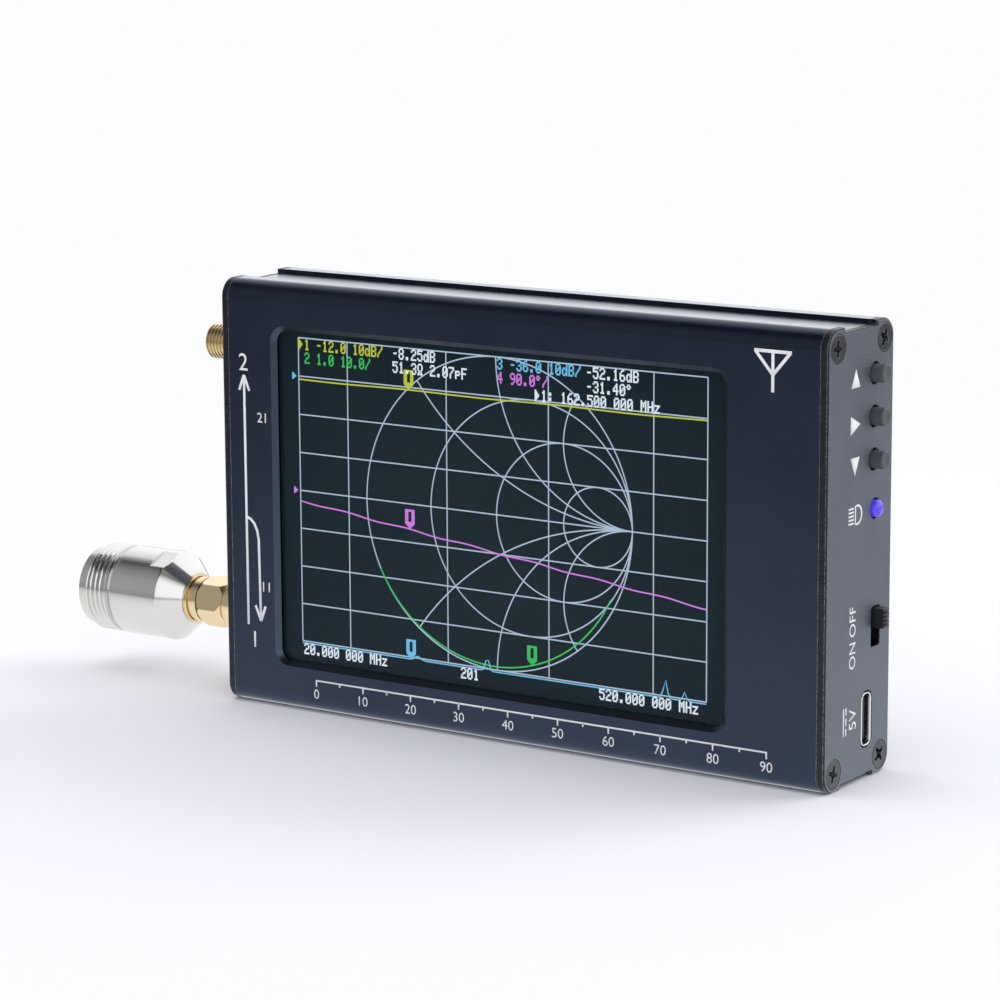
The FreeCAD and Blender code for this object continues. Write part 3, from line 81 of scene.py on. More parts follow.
def place_mesh(name, verts, faces, finish, body, slot, sharp=35.0, weld=True):
    """One piece from vertices in millimetres and faces; its place is in its mesh."""
    mesh = bpy.data.meshes.new(name)
    mesh.from_pydata((np.asarray(verts, float) * MM).tolist(), [], [list(face) for face in faces])
    if weld:
        work = bmesh.new()
        work.from_mesh(mesh)
        bmesh.ops.remove_doubles(work, verts=work.verts, dist=2e-7)
        bmesh.ops.dissolve_degenerate(work, edges=work.edges, dist=1e-8)
        bmesh.ops.recalc_face_normals(work, faces=work.faces)
        work.to_mesh(mesh)
        work.free()
    mesh.shade_smooth()
    mesh.set_sharp_from_angle(angle=math.radians(sharp))
    piece = new_object(name, mesh)
    mesh.materials.append(finish)
    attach(piece, body)
    return piece


def grid_faces(rows, columns, ring=False, loop=False):
    """Quads between neighbours of a rows x columns grid; ring closes columns and loop closes rows."""
    down = np.arange(rows if loop else rows - 1)
    along = np.arange(columns if ring else columns - 1)
    first, second = np.meshgrid(down, along, indexing="ij")
    below, beside = (first + 1) % rows, (second + 1) % columns
    corners = [first * columns + second, first * columns + beside,
               below * columns + beside, below * columns + second]
    return np.stack(corners, -1).reshape(-1, 4)


def merged(parts):
    """Several (vertices, faces) sets as one."""
    verts, faces, start = [], [], 0
    for points, quads in parts:
        points = np.asarray(points, float).reshape(-1, 3)
        verts.append(points)
        listed = quads if isinstance(quads, list) else quads.tolist()
        faces.extend([index + start for index in face] for face in listed)
        start += len(points)
    return np.concatenate(verts), faces


def polar(mid_u, mid_v, radius, angle):
    """Points at a radius R and angle a about a middle: (u + R cos a, v + R sin a)."""
    return np.stack([mid_u + radius * np.cos(angle), mid_v + radius * np.sin(angle)], -1)


def at_x(loop, x):
    """(y, z) points placed at one x."""
    return np.concatenate([np.full((len(loop), 1), x), loop], 1)


def turned(profile, radius_rule=None, steps=128, y=PORT_Y, z=PORT_LOW, loop=True):
    """A profile of (x, r) turned about the line along X at (y, z).

    Each point goes to (x, y + R cos a, z + R sin a), where R is r, or what radius_rule makes of
    x, r and the angle a."""
    profile = np.asarray(profile, float)
    angle = np.linspace(0, 2 * np.pi, steps, endpoint=False)
    along = profile[:, 0][:, None] + 0 * angle
    radius = profile[:, 1][:, None] + 0 * angle
    if radius_rule:
        radius = radius_rule(along, radius, angle[None, :])
    points = np.concatenate([along[..., None], polar(y, z, radius, angle)], -1)
    return points.reshape(-1, 3), grid_faces(len(profile), steps, ring=True, loop=loop)


def softened(corners, soft, bends=4):
    """A closed profile with each corner replaced by a short quadratic curve, soft long either way."""
    corners = np.asarray(corners, float)
    count = len(corners)
    out = []
    for index in range(count):
        here = corners[index]
        before, after = corners[index - 1], corners[(index + 1) % count]
        reach_in = min(soft, np.linalg.norm(before - here) * 0.45)
        reach_out = min(soft, np.linalg.norm(after - here) * 0.45)
        start = here + (before - here) / max(np.linalg.norm(before - here), 1e-9) * reach_in
        end = here + (after - here) / max(np.linalg.norm(after - here), 1e-9) * reach_out
        share = np.linspace(0, 1, bends + 1)[:, None]
        out.extend((1 - share) ** 2 * start + 2 * share * (1 - share) * here + share ** 2 * end)
    return np.array(out)


def densified(profile, low, high, step):
    """The same closed profile with more points where its x lies between low and high."""
    profile = np.asarray(profile, float)
    out = []
    for index in range(len(profile)):
        start, end = profile[index], profile[(index + 1) % len(profile)]
        inside = min(start[0], end[0]) >= low - 1e-6 and max(start[0], end[0]) <= high + 1e-6
        pieces = max(1, int(math.ceil(abs(end[0] - start[0]) / step))) if inside else 1
        share = np.arange(pieces)[:, None] / pieces
        out.extend(start + (end - start) * share)
    return np.array(out)


def thread_rule(low, high, pitch, depth, only_above):
    """A radius rule that cuts a helical V groove: the depth follows the distance, in turns, from
    the groove's middle, and fades to nothing over the last half turn at either end."""
    half_turn = 0.5 * pitch

    def rule(along, radius, angle):
        """The radius with the groove cut in."""
        turn = ((along - low) / pitch - angle / (2 * np.pi)) % 1.0
        groove = np.clip((0.5 - np.abs(turn - 0.5)) * 2 * 1.35 - 0.1, 0, 1)
        fade = np.clip((along - low) / half_turn, 0, 1) * np.clip((high - along) / half_turn, 0, 1)
        on_thread = (radius > only_above) & (along >= low) & (along <= high)
        return np.where(on_thread, radius - depth * (1 - groove) * fade, radius)

    return rule


def stadium(across, tall, steps=14, corner=None):
    """A rectangle with round corners as (u, v) points, counter-clockwise about its middle."""
    corner = min(across, tall) / 2 if corner is None else corner
    half_u, half_v = across / 2 - corner, tall / 2 - corner
    middles = [(half_u, half_v, 0), (-half_u, half_v, 90), (-half_u, -half_v, 180), (half_u, -half_v, 270)]
    out = []
    for mid_u, mid_v, start in middles:
        out.append(polar(mid_u, mid_v, corner, np.radians(start + np.linspace(0, 90, steps))))
    return np.concatenate(out)


def lofted(rings):
    """A skin through rings of equal length, each an array of points, closed round every ring."""
    rings = np.asarray(rings, float)
    return rings.reshape(-1, 3), grid_faces(rings.shape[0], rings.shape[1], ring=True)


def lid(ring):
    """A fan that closes a ring from its middle."""
    ring = np.asarray(ring, float)
    points = np.concatenate([ring, ring.mean(0)[None]])
    count = len(ring)
    return points, [[index, (index + 1) % count, count] for index in range(count)]


# Node helpers.

def add(tree, kind, **settings):
    """A new node with its settings."""
    node = tree.nodes.new(kind)
    for key, value in settings.items():
        setattr(node, key, value)
    return node


def feed(tree, node, socket, source):
    """Links a source socket, or sets a plain value."""
    target = node.inputs[socket]
    if isinstance(source, bpy.types.NodeSocket):
        tree.links.new(source, target)
    else:
        target.default_value = source
    return target


def wire(tree, node, **sources):
    """Feeds sockets by their titles, with _ for a space."""
    for title, source in sources.items():
        feed(tree, node, title.replace("_", " "), source)


def maths(tree, operation, first, second=None):
    """One sum on one or two values."""
    node = add(tree, "ShaderNodeMath", operation=operation)
    feed(tree, node, 0, first)
    if second is not None:
        feed(tree, node, 1, second)
    return node.outputs[0]


def spread(tree, value, low, high, new_low=0.0, new_high=1.0):
    """Maps a value from one span to another, held within it."""
    node = add(tree, "ShaderNodeMapRange", clamp=True)
    for socket, number in enumerate((value, low, high, new_low, new_high)):
        feed(tree, node, socket, number)
    return node.outputs[0]


def blend_colour(tree, share, first, second):
    """A colour between two others."""
    node = add(tree, "ShaderNodeMix", data_type="RGBA")
    feed(tree, node, 0, share)
    for socket, colour in ((6, first), (7, second)):
        feed(tree, node, socket, colour if isinstance(colour, bpy.types.NodeSocket) else (*colour, 1))
    return node.outputs[2]


def noise(tree, where, scale, detail=3.0, rough=0.55, stretch=None):
    """Cloudy noise over a place, which may be stretched first."""
    if stretch:
        mapping = add(tree, "ShaderNodeMapping")
        feed(tree, mapping, 0, where)
        mapping.inputs["Scale"].default_value = stretch
        where = mapping.outputs[0]
    node = add(tree, "ShaderNodeTexNoise")
    wire(tree, node, Vector=where, Scale=scale, Detail=detail, Roughness=rough)
    return node.outputs["Fac"]


def ramp(tree, value, stops):
    """A value looked up along straight runs between (place, level) stops, from place 0 to place 1."""
    node = add(tree, "ShaderNodeValToRGB")
    feed(tree, node, 0, value)
    marks = node.color_ramp.elements
    for place, _ in stops[1:-1]:
        marks.new(place)
    peak = max(level for _, level in stops)
    for mark, (_, level) in zip(marks, stops):
        mark.color = (level / peak, level / peak, level / peak, 1)
    return maths(tree, "MULTIPLY", node.outputs[0], peak)


def facing(tree, way, towards):
    """How far a direction points along another, as their dot product."""
    node = add(tree, "ShaderNodeVectorMath", operation="DOT_PRODUCT")
    feed(tree, node, 0, way)
    feed(tree, node, 1, towards)
    return node.outputs["Value"]


def mix_shader(tree, share, first, second):
    """One shader fading to another."""
    node = add(tree, "ShaderNodeMixShader")
    for socket, source in enumerate((share, first, second)):
        feed(tree, node, socket, source)
    return node.outputs[0]


def toned(tree, value, dark, light):
    """Dark to light over the middle of a cloudy value."""
    return blend_colour(tree, spread(tree, value, 0.3, 0.7), dark, light)


def parts_of(tree, vector):
    """The three parts of a vector."""
    node = add(tree, "ShaderNodeSeparateXYZ")
    feed(tree, node, 0, vector)
    return node.outputs


def new_group(name, inputs, outputs):
    """A shader node group with named sockets; each socket is (name, kind, default)."""
    tree = bpy.data.node_groups.new(name, "ShaderNodeTree")
    for title, kind, value in inputs:
        socket = tree.interface.new_socket(title, in_out="INPUT", socket_type=kind)
        if value is not None:
            socket.default_value = value
    for title, kind in outputs:
        tree.interface.new_socket(title, in_out="OUTPUT", socket_type=kind)
    return tree, add(tree, "NodeGroupInput"), add(tree, "NodeGroupOutput")


def grain_group():
    """Blasted or moulded grain: fine bumps, a soft cloud of tone, and rare pale specks."""
    floats = "NodeSocketFloat"
    tree, source, sink = new_group(
        "Surface grain", [("Scale", floats, 9000.0), ("Cloud", floats, 90.0)],
        [("Height", floats), ("Tone", floats), ("Speck", floats)])
    where = add(tree, "ShaderNodeTexCoord").outputs["Object"]
    fine = noise(tree, where, source.outputs["Scale"], 2.0)
    cloud = noise(tree, where, source.outputs["Cloud"], 4.0)
    specks = add(tree, "ShaderNodeTexVoronoi", feature="F1")
    wire(tree, specks, Vector=where, Scale=maths(tree, "MULTIPLY", source.outputs["Scale"], 0.08))
    rare = spread(tree, specks.outputs["Distance"], 0.05, 0.10, 1.0, 0.0)
    keep = spread(tree, noise(tree, where, 700.0), 0.60, 0.66)
    wire(tree, sink, Height=fine, Tone=cloud, Speck=maths(tree, "MULTIPLY", rare, keep))
    return tree


def edge_group():
    """Where an edge lies near: the turn between the plain normal and one rounded over a radius,
    broken up by noise, as metal shows where a coating has rubbed through; on some finishes the same
    mask also lays a painted highlight along the edges."""
    floats = "NodeSocketFloat"
    tree, source, sink = new_group(
        "Edge wear and highlight", [("Radius", floats, 0.0002), ("Break", floats, 3000.0)], [("Mask", floats)])
    round_off = add(tree, "ShaderNodeBevel", samples=4)
    feed(tree, round_off, "Radius", source.outputs["Radius"])
    plain = add(tree, "ShaderNodeNewGeometry").outputs["Normal"]
    turn = spread(tree, facing(tree, round_off.outputs[0], plain), 0.995, 0.88)
    where = add(tree, "ShaderNodeTexCoord").outputs["Object"]
    broken = spread(tree, noise(tree, where, source.outputs["Break"], 4.0), 0.38, 0.62, 0.15, 1.0)
    feed(tree, sink, "Mask", maths(tree, "MULTIPLY", turn, broken))
    return tree


GRAIN = grain_group()
EDGE = edge_group()


def use(tree, group, **values):
    """The outputs of a node group placed in a tree."""
    node = add(tree, "ShaderNodeGroup", node_tree=group)
    wire(tree, node, **values)
    return node.outputs


def new_finish(name):
    """A material with its shader node, its tree and the object's own coordinates."""
    material = bpy.data.materials.new(name)
    material.use_nodes = True
    tree = material.node_tree
    shader = tree.nodes["Principled BSDF"]
    return material, tree, shader, add(tree, "ShaderNodeTexCoord").outputs["Object"]


def bump(tree, shader, height, strength, distance):
    """Leads a height into a shader as small relief."""
    node = add(tree, "ShaderNodeBump")
    wire(tree, node, Height=height, Strength=strength, Distance=distance)
    feed(tree, shader, "Normal", node.outputs[0])


def finish(name, colour, metallic=0.0, rough=0.5, tone=0.15, grain=9000.0, depth=0.00002, cloud=90.0,
           edge_wear_and_highlight=None, edge_wear_and_highlight_share=0.6, speck=None, **fixed):
    """A coloured surface with grain, soft change of tone, rubbed edges and specks; on some finishes the
    pale edges are also a painted highlight.
    """
    material, tree, shader, _ = new_finish(name)
    marks = use(tree, GRAIN, Scale=grain, Cloud=cloud)
    dark = tuple(part * (1 - tone) for part in colour)
    light = tuple(part * (1 + tone) for part in colour)
    tint = toned(tree, marks["Tone"], dark, light)
    if speck:
        tint = blend_colour(tree, marks["Speck"], tint, speck)
    # The edge colour is rubbed wear, and on the screws and end plates it is also a painted highlight along
    # the edges.
    if edge_wear_and_highlight:
        edge = use(tree, EDGE)["Mask"]
        tint = blend_colour(tree, maths(tree, "MULTIPLY", edge, edge_wear_and_highlight_share), tint, edge_wear_and_highlight)
    gloss = spread(tree, marks["Tone"], 0.25, 0.75, rough * 0.88, min(1, rough * 1.12))
    wire(tree, shader, Base_Color=tint, Metallic=metallic, Roughness=gloss, **fixed)
    bump(tree, shader, marks["Height"], 0.5, depth)
    return material


def glow(name, colour):
    """Lit dots of a display: dark by themselves, shining with their own colour."""
    material, tree, shader, where = new_finish(name)
    dots = noise(tree, where, 5500.0, 1.0)
    tint = blend_colour(tree, spread(tree, dots, 0.35, 0.65),
                        tuple(part * 0.86 for part in colour), colour)
    wire(tree, shader, Emission_Color=tint, Base_Color=(0.01, 0.01, 0.01, 1), Emission_Strength=1.0,
         Roughness=0.6)
    return material


# Finishes.

SHELL_DARK, SHELL_LIGHT = (0.034, 0.0445, 0.074), (0.0415, 0.054, 0.0885)
BEVEL_TINT = (0.065, 0.082, 0.115)


def shell_finish():
    """Satin dark blue anodising on metal, with the window's milled bevel paler, pale edges that are partly
    a painted highlight, and a painted pale sheen at glancing angles.
    """
    material, tree, shader, where = new_finish("case_anodise")
    marks = use(tree, GRAIN, Scale=11000.0, Cloud=45.0)
    tint = toned(tree, marks["Tone"], SHELL_DARK, SHELL_LIGHT)
    tint = blend_colour(tree, maths(tree, "MULTIPLY", marks["Speck"], 0.25), tint, (0.20, 0.22, 0.25))
    facet = add(tree, "ShaderNodeNewGeometry").outputs["True Normal"]
    lean = maths(tree, "ABSOLUTE", parts_of(tree, facet)[1])
    bevel = maths(tree, "MULTIPLY", spread(tree, lean, 0.60, 0.68),
                  spread(tree, lean, 0.73, 0.80, 1.0, 0.0))
    level = parts_of(tree, where)[2]
    inside = maths(tree, "MULTIPLY", spread(tree, level, 0.0045, 0.0050),
                   spread(tree, level, 0.0702, 0.0708, 1.0, 0.0))
    tint = blend_colour(tree, maths(tree, "MULTIPLY", bevel, inside), tint, BEVEL_TINT)
    # Paler edges: partly rubbed wear, partly a painted highlight along the case's edges.
    edge = use(tree, EDGE, Radius=0.00018)["Mask"]
    tint = blend_colour(tree, maths(tree, "MULTIPLY", edge, 0.35), tint, (0.16, 0.18, 0.22))
    # Painted sheen: the base colour turns pale where the surface is seen at a glancing angle, standing in
    # for the reflection of a bright wall on the recessed tops.
    painted_grazing_sheen = spread(tree, add(tree, "ShaderNodeLayerWeight").outputs["Facing"], 0.72, 0.84, 0.0, 0.55)
    wire(tree, shader, Base_Color=blend_colour(tree, painted_grazing_sheen, tint, (0.72, 0.74, 0.82)), Metallic=1.0,
         Roughness=spread(tree, marks["Tone"], 0.25, 0.75, 0.27, 0.34))
    bump(tree, shader, marks["Height"], 0.35, 0.00001)
    return material


def glass_finish():
    """Clear cover glass, with a faint film of smears in its gloss."""
    material, tree, shader, where = new_finish("cover_glass_clear")
    smear = noise(tree, where, 60.0, 5.0, stretch=(1.0, 1.0, 3.0))
    wire(tree, shader, Roughness=spread(tree, smear, 0.45, 0.75, 0.0, 0.06), IOR=1.2,
         Base_Color=(0.93, 0.97, 0.98, 1), Transmission_Weight=1.0, Specular_IOR_Level=0.08)
    return material


def panel_finish():
    """The dark lit ground of the display: nearly black, a touch bluer at its foot."""
    material, tree, shader, where = new_finish("display_ground")
    height = spread(tree, parts_of(tree, where)[2], 0.008, 0.068)
    cloud = noise(tree, where, 25.0, 2.0)
    share = maths(tree, "ADD", maths(tree, "MULTIPLY", height, 0.8), maths(tree, "MULTIPLY", cloud, 0.2))
    tint = blend_colour(tree, share, (0.0046, 0.0100, 0.0155), (0.0042, 0.0103, 0.0145))
    wire(tree, shader, Base_Color=tint, Emission_Color=tint, Emission_Strength=1.0, Roughness=0.45,
         Specular_IOR_Level=0.05)
    return material


def metal_finish(name, colour, rough, streak=0.0, tone=0.06, dull=(0.5, 0.4, 0.3)):
    """Plated metal: fine lathe lines round the X axis, faint clouds, and duller spots."""
    material, tree, shader, where = new_finish(name)
    marks = use(tree, GRAIN, Scale=6000.0, Cloud=160.0)
    lines = noise(tree, where, 1.0, 3.0, 0.7, stretch=(9000.0, 260.0, 260.0))
    dark = tuple(part * (1 - tone) for part in colour)
    tint = toned(tree, marks["Tone"], dark, colour)
    tint = blend_colour(tree, maths(tree, "MULTIPLY", marks["Speck"], 0.5), tint, dull)
    cloud = spread(tree, marks["Tone"], 0.3, 0.7, rough * 0.8, rough * 1.25)
    wire(tree, shader, Base_Color=tint, Metallic=1.0,
         Roughness=maths(tree, "ADD", cloud, maths(tree, "MULTIPLY", lines, streak)))
    bump(tree, shader, lines, 0.12, 0.000004)
    return material


CASE = shell_finish()
# The plate faces' pale edges are partly rubbed wear and partly a painted highlight along the rims.
BLASTED = finish("plate_anodise", (0.160, 0.178, 0.216), 0.75, 0.48, tone=0.10, grain=2600.0, depth=0.00022,
                 cloud=60.0, edge_wear_and_highlight=(0.45, 0.47, 0.50), edge_wear_and_highlight_share=0.6, speck=(0.55, 0.57, 0.60))
# Near-black painted shade on the plates' rim bevels and hole walls, standing in for the gap and the holes
# in shadow, with pale edges that are partly rubbed wear and partly a painted highlight.
PLATE_EDGE_SHADE_HIGHLIGHT_WEAR = finish("plate_edge_shade_highlight_wear", (0.022, 0.026, 0.035), 0.7, 0.40, tone=0.25, grain=3500.0,
                    depth=0.00006, cloud=900.0, edge_wear_and_highlight=(0.66, 0.67, 0.69), edge_wear_and_highlight_share=0.8,
                    speck=(0.6, 0.6, 0.62))
# The pale rims of the screw heads are partly rubbed wear and partly a painted highlight.
SCREW = finish("screw_black_steel", (0.085, 0.090, 0.100), 0.9, 0.30, tone=0.25, cloud=600.0,
               edge_wear_and_highlight=(0.50, 0.51, 0.53), edge_wear_and_highlight_share=0.8)
GLASS = glass_finish()
GROUND = panel_finish()
GOLD = metal_finish("gold_plate", (0.87, 0.70, 0.43), 0.13, 0.06, dull=(0.6, 0.42, 0.22))
NICKEL = metal_finish("nickel_polish", (0.76, 0.75, 0.73), 0.09, 0.05)
BRIGHT = metal_finish("socket_plate", (0.86, 0.86, 0.87), 0.16, 0.03)
WHITE_RING = finish("white_insulator_wax", (0.78, 0.78, 0.76), 0, 0.5, tone=0.04, Subsurface_Weight=0.1)
BUTTON = finish("button_moulding", (0.070, 0.076, 0.088), 0, 0.42, tone=0.12, grain=7000.0,
                edge_wear_and_highlight=(0.22, 0.23, 0.25), edge_wear_and_highlight_share=0.8)
BLACK = finish("black_moulding", (0.010, 0.011, 0.013), 0, 0.48, tone=0.2, grain=8000.0,
               edge_wear_and_highlight=(0.06, 0.06, 0.07), edge_wear_and_highlight_share=0.6)
PAINT = finish("white_print", (0.89, 0.90, 0.91), 0, 0.6, tone=0.04, grain=9000.0, depth=0.00001,
               cloud=700.0)
TAPE = finish("black_foam_tape", (0.008, 0.008, 0.009), 0, 0.85)
TRAY = finish("tray_sheet", (0.62, 0.63, 0.64), 1, 0.35)
AMBER = finish("amber_ribbon", (0.45, 0.20, 0.03), 0, 0.3)
CREAM = finish("cream_connector", (0.62, 0.56, 0.44), 0, 0.5)
BOARD = finish("green_board", (0.010, 0.085, 0.040), 0, 0.35, tone=0.2, cloud=400.0)
STEEL = finish("plain_steel", (0.55, 0.55, 0.54), 1, 0.35)
TINNED = finish("tinned_cover", (0.66, 0.66, 0.64), 1, 0.30)
CHIP = finish("chip_moulding", (0.018, 0.018, 0.019), 0, 0.55)
FOIL = finish("battery_pouch", (0.60, 0.61, 0.62), 0.9, 0.38, tone=0.1, depth=0.00006, grain=1500.0)
FOAM = finish("battery_foam_pad", (0.02, 0.02, 0.02), 0, 0.9, depth=0.00008, grain=2500.0)
RED = finish("red_lead_cover", (0.45, 0.015, 0.012), 0, 0.4)


def lamp_finish():
    """Tinted lamp lens, lit from within, in soft clouds."""
    material, tree, shader, where = new_finish("lamp_lens")
    cloud = noise(tree, where, 900.0, 2.0)
    tint = toned(tree, cloud, (0.045, 0.026, 0.42), (0.10, 0.055, 0.72))
    wire(tree, shader, Base_Color=tint, Emission_Color=tint, Emission_Strength=0.55, Roughness=0.16,
         Coat_Weight=0.4)
    return material


LAMP = lamp_finish()

NODE_FINISH = {
    CASE: ["front_shell", "rear_shell"],
    BLASTED: ["left_end_plate", "right_end_plate"],
    SCREW: ["left_plate_screws", "right_plate_screws"],
    TAPE: ["display_tape"],
    GLASS: ["touch_glass"],
    GROUND: ["display_panel"],
    TRAY: ["backlight_tray"],
    AMBER: ["display_ribbon"],
    CREAM: ["ribbon_socket", "battery_socket", "battery_plug"],
    BOARD: ["main_board"],
    STEEL: ["board_pillars", "board_screws"],
    TINNED: ["upper_shield_can", "lower_shield_can", "switch_covers"],
    CHIP: ["processor", "support_chips", "clock_crystal"],
    FOIL: ["battery"],
    FOAM: ["battery_foam"],
    RED: ["battery_leads"],
    BLACK: ["upper_push_switch", "middle_push_switch", "lower_push_switch", "power_switch", "power_slider",
            "power_tongue"],
    BUTTON: ["upper_button", "middle_button", "lower_button"],
    LAMP: ["status_lamp"],
    BRIGHT: ["power_shell"],
    WHITE_RING: ["upper_port_liner", "lower_port_liner", "adapter_liner", "plug_liner", "neck_liner"],
    GOLD: ["upper_port", "lower_port", "upper_port_contact", "lower_port_contact", "upper_port_nut",
           "lower_port_nut", "upper_port_washer", "lower_port_washer", "adapter_contact", "adapter_ferrule",
           "coupling_nut"],
    NICKEL: ["adapter_body"],
}


def dress_nodes():
    """Every carried-over solid gets its finish in its own slots."""
    for material, names in NODE_FINISH.items():
        for name in names:
            for each in frame["nodes"][name].material_slots:
                each.material = material


# End plates.

def lobe_outline(inset=0.0, steps=12):
    """The end plate's outline as (y, z): two round-cornered lobes joined by a lower middle."""
    lobe, radius, step = 5.2, 3.1, 0.8
    corner = radius - inset
    axis = HALF_DEPTH - radius

    def arc(mid_y, mid_z, start):
        """A quarter turn of the lobes' corner."""
        return polar(mid_y, mid_z, corner, np.radians(start + np.linspace(0, 90, steps)))

    points = [
        arc(axis, radius, 270), arc(axis, HEIGHT - radius, 0),
        [[lobe + inset, HEIGHT - inset], [lobe + inset, HEIGHT - step - inset],
         [-lobe - inset, HEIGHT - step - inset], [-lobe - inset, HEIGHT - inset]],
        arc(-axis, HEIGHT - radius, 90), arc(-axis, radius, 180),
        [[-lobe - inset, inset], [-lobe - inset, step + inset],
         [lobe + inset, step + inset], [lobe + inset, inset]],
    ]
    return np.concatenate([np.asarray(part, float) for part in points])


def ring_of(mid_y, mid_z, radius, steps=48):
    """A circle as (y, z) points."""
    return polar(mid_y, mid_z, radius, np.linspace(0, 2 * np.pi, steps, endpoint=False))


def inside_loop(points, loop):
    """Even-odd test of many points at once: how many edges a ray towards +u crosses."""
    loop = np.asarray(loop, float)
    ahead = np.roll(loop, -1, 0)
    v = points[:, 1][:, None]
    crosses = (loop[:, 1] > v) != (ahead[:, 1] > v)
    rise = ahead[:, 1] - loop[:, 1]
    slope = (ahead[:, 0] - loop[:, 0]) / np.where(rise == 0, 1e-12, rise)
    meet = loop[:, 0] + (v - loop[:, 1]) * slope
    return (np.sum(crosses & (points[:, 0][:, None] < meet), 1) % 2) == 1


def fill_between(loops):
    """Triangles that fill an outline less its holes, by a Delaunay mesh held to the loops' edges."""
    points, edges = [], []
    for loop in loops:
        start = len(points)
        points.extend(Vector(point) for point in loop)
        edges.extend((start + index, start + (index + 1) % len(loop)) for index in range(len(loop)))
    verts, _, faces, _, _, _ = delaunay_2d_cdt(points, edges, [], 0, 1e-7)
    flat = np.array([tuple(vert) for vert in verts])
    middles = np.array([flat[list(face)].mean(0) for face in faces])
    keep = inside_loop(middles, loops[0])
    for hole in loops[1:]:
        keep &= ~inside_loop(middles, hole)
    return flat, [list(face) for face, good in zip(faces, keep) if good]


def plate_faces(outer):
    """Where an end plate's outer and inner faces lie on X."""
    return outer * HALF_LENGTH, outer * (HALF_LENGTH - PLATE)


def through_edge(first, second, ease, outer):
    """An edge through the plate: one loop at its outer face, another from ease below it inwards."""
    out_x, in_x = plate_faces(outer)
    return [(first, out_x), (second, out_x - outer * ease), (second, in_x)]


def plate_piece(name, node, outer, holes):
    """An end plate: flat faces, a bevelled rim, and holes with a fine bevel of their own.

    outer is 1 at the right and -1 at the left. A hole is a list of (loop, x) from outside in."""
    bevel = 0.28
    out_x, in_x = plate_faces(outer)
    rim = through_edge(lobe_outline(bevel), lobe_outline(), bevel, outer)
    sides = [lofted([at_x(loop, x) for loop, x in edge]) for edge in [rim] + holes]
    face_points, face_tris = fill_between([lobe_outline(bevel)] + [hole[0][0] for hole in holes])
    back_points, back_tris = fill_between([lobe_outline()] + [hole[-1][0] for hole in holes])
    face = (at_x(face_points, out_x), face_tris)
    back = (at_x(back_points, in_x), back_tris)
    verts, faces = merged([face, back] + sides)
    piece = place_mesh(name, verts, faces, BLASTED, "case", "plate_finish", sharp=20.0)
    # The bevels and hole walls take the near-black painted shade and painted edge highlight.
    piece.data.materials.append(PLATE_EDGE_SHADE_HIGHLIGHT_WEAR)
    flat = np.array([abs(face.normal.x) > 0.95 for face in piece.data.polygons])
    piece.data.polygons.foreach_set("material_index", np.where(flat, 0, 1).astype(np.int32))
    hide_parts(node)
    return piece


def round_hole(mid_y, mid_z, radius, outer, ease=0.15):
    """A straight hole whose outer rim is eased."""
    wide, close = ring_of(mid_y, mid_z, radius + ease), ring_of(mid_y, mid_z, radius)
    return through_edge(wide, close, ease, outer)


def sink_hole(mid_y, mid_z, outer):
    """A countersink that narrows to the screw's own hole."""
    wide, close = ring_of(mid_y, mid_z, SINK_RADIUS), ring_of(mid_y, mid_z, SCREW_HOLE)
    return through_edge(wide, close, SINK_DEPTH, outer)


def slot_hole(mid_y, mid_z, across, tall, corner, outer, ease=0.12):
    """A slot with round corners whose outer rim is eased."""
    middle = np.array([mid_y, mid_z])
    wide = stadium(across + 2 * ease, tall + 2 * ease, corner=corner + ease) + middle
    close = stadium(across, tall, corner=corner) + middle
    return through_edge(wide, close, ease, outer)


SCREW_INSET = 3.1
SCREW_SPOTS = [(side * (HALF_DEPTH - SCREW_INSET), level) for side in (-1, 1)
               for level in (SCREW_INSET, HEIGHT - SCREW_INSET)]
SINK_RADIUS, SINK_DEPTH, SCREW_HOLE = 2.53, 1.2, 1.33
PORT_HIGH, PORT_HOLE = 61.9, 3.2
BUTTONS = {"upper": 66.5, "middle": 59.5, "lower": 52.5}
BUTTON_Y = 4.7
BUTTON_ROOT, BUTTON_RADIUS, BUTTON_HOLE = 56.4, 1.5, 1.8
SLIDER_Y, SLIDER_Z, SLIDER_TRAVEL, SLIDER_HALF = 5.85, 26.4, 3.0, 1.0
LAMP_Y, LAMP_Z, LAMP_RADIUS, LAMP_HOLE = 5.3, 44.4, 1.45, 1.7
POWER_Y, POWER_Z = 3.13, 9.95


def end_plates():
    """Both plates with their own holes."""
    right = [sink_hole(y, z, 1) for y, z in SCREW_SPOTS]
    right += [round_hole(BUTTON_Y, z, BUTTON_HOLE, 1) for z in BUTTONS.values()]
    right.append(round_hole(LAMP_Y, LAMP_Z, LAMP_HOLE, 1))
    right.append(slot_hole(SLIDER_Y, SLIDER_Z - SLIDER_TRAVEL / 2, 3.0, 6.7, 0.6, 1))
    right.append(slot_hole(POWER_Y, POWER_Z, 3.7, 9.38, 1.47, 1))
    plate_piece("right_plate_panel", "right_end_plate", 1, right)
    left = [sink_hole(y, z, -1) for y, z in SCREW_SPOTS]
    left += [round_hole(PORT_Y, z, PORT_HOLE, -1, 0.08) for z in (PORT_HIGH, PORT_LOW)]
    plate_piece("left_plate_panel", "left_end_plate", -1, left)


def recess_bar(across, along):
    """How deep one bar of the cross is: full within its width and length, with leaning walls."""
    wide = np.clip((0.36 - np.abs(across)) / 0.12, 0, 1)
    return wide * np.clip((1.5 - np.abs(along)) / 0.35, 0, 1)


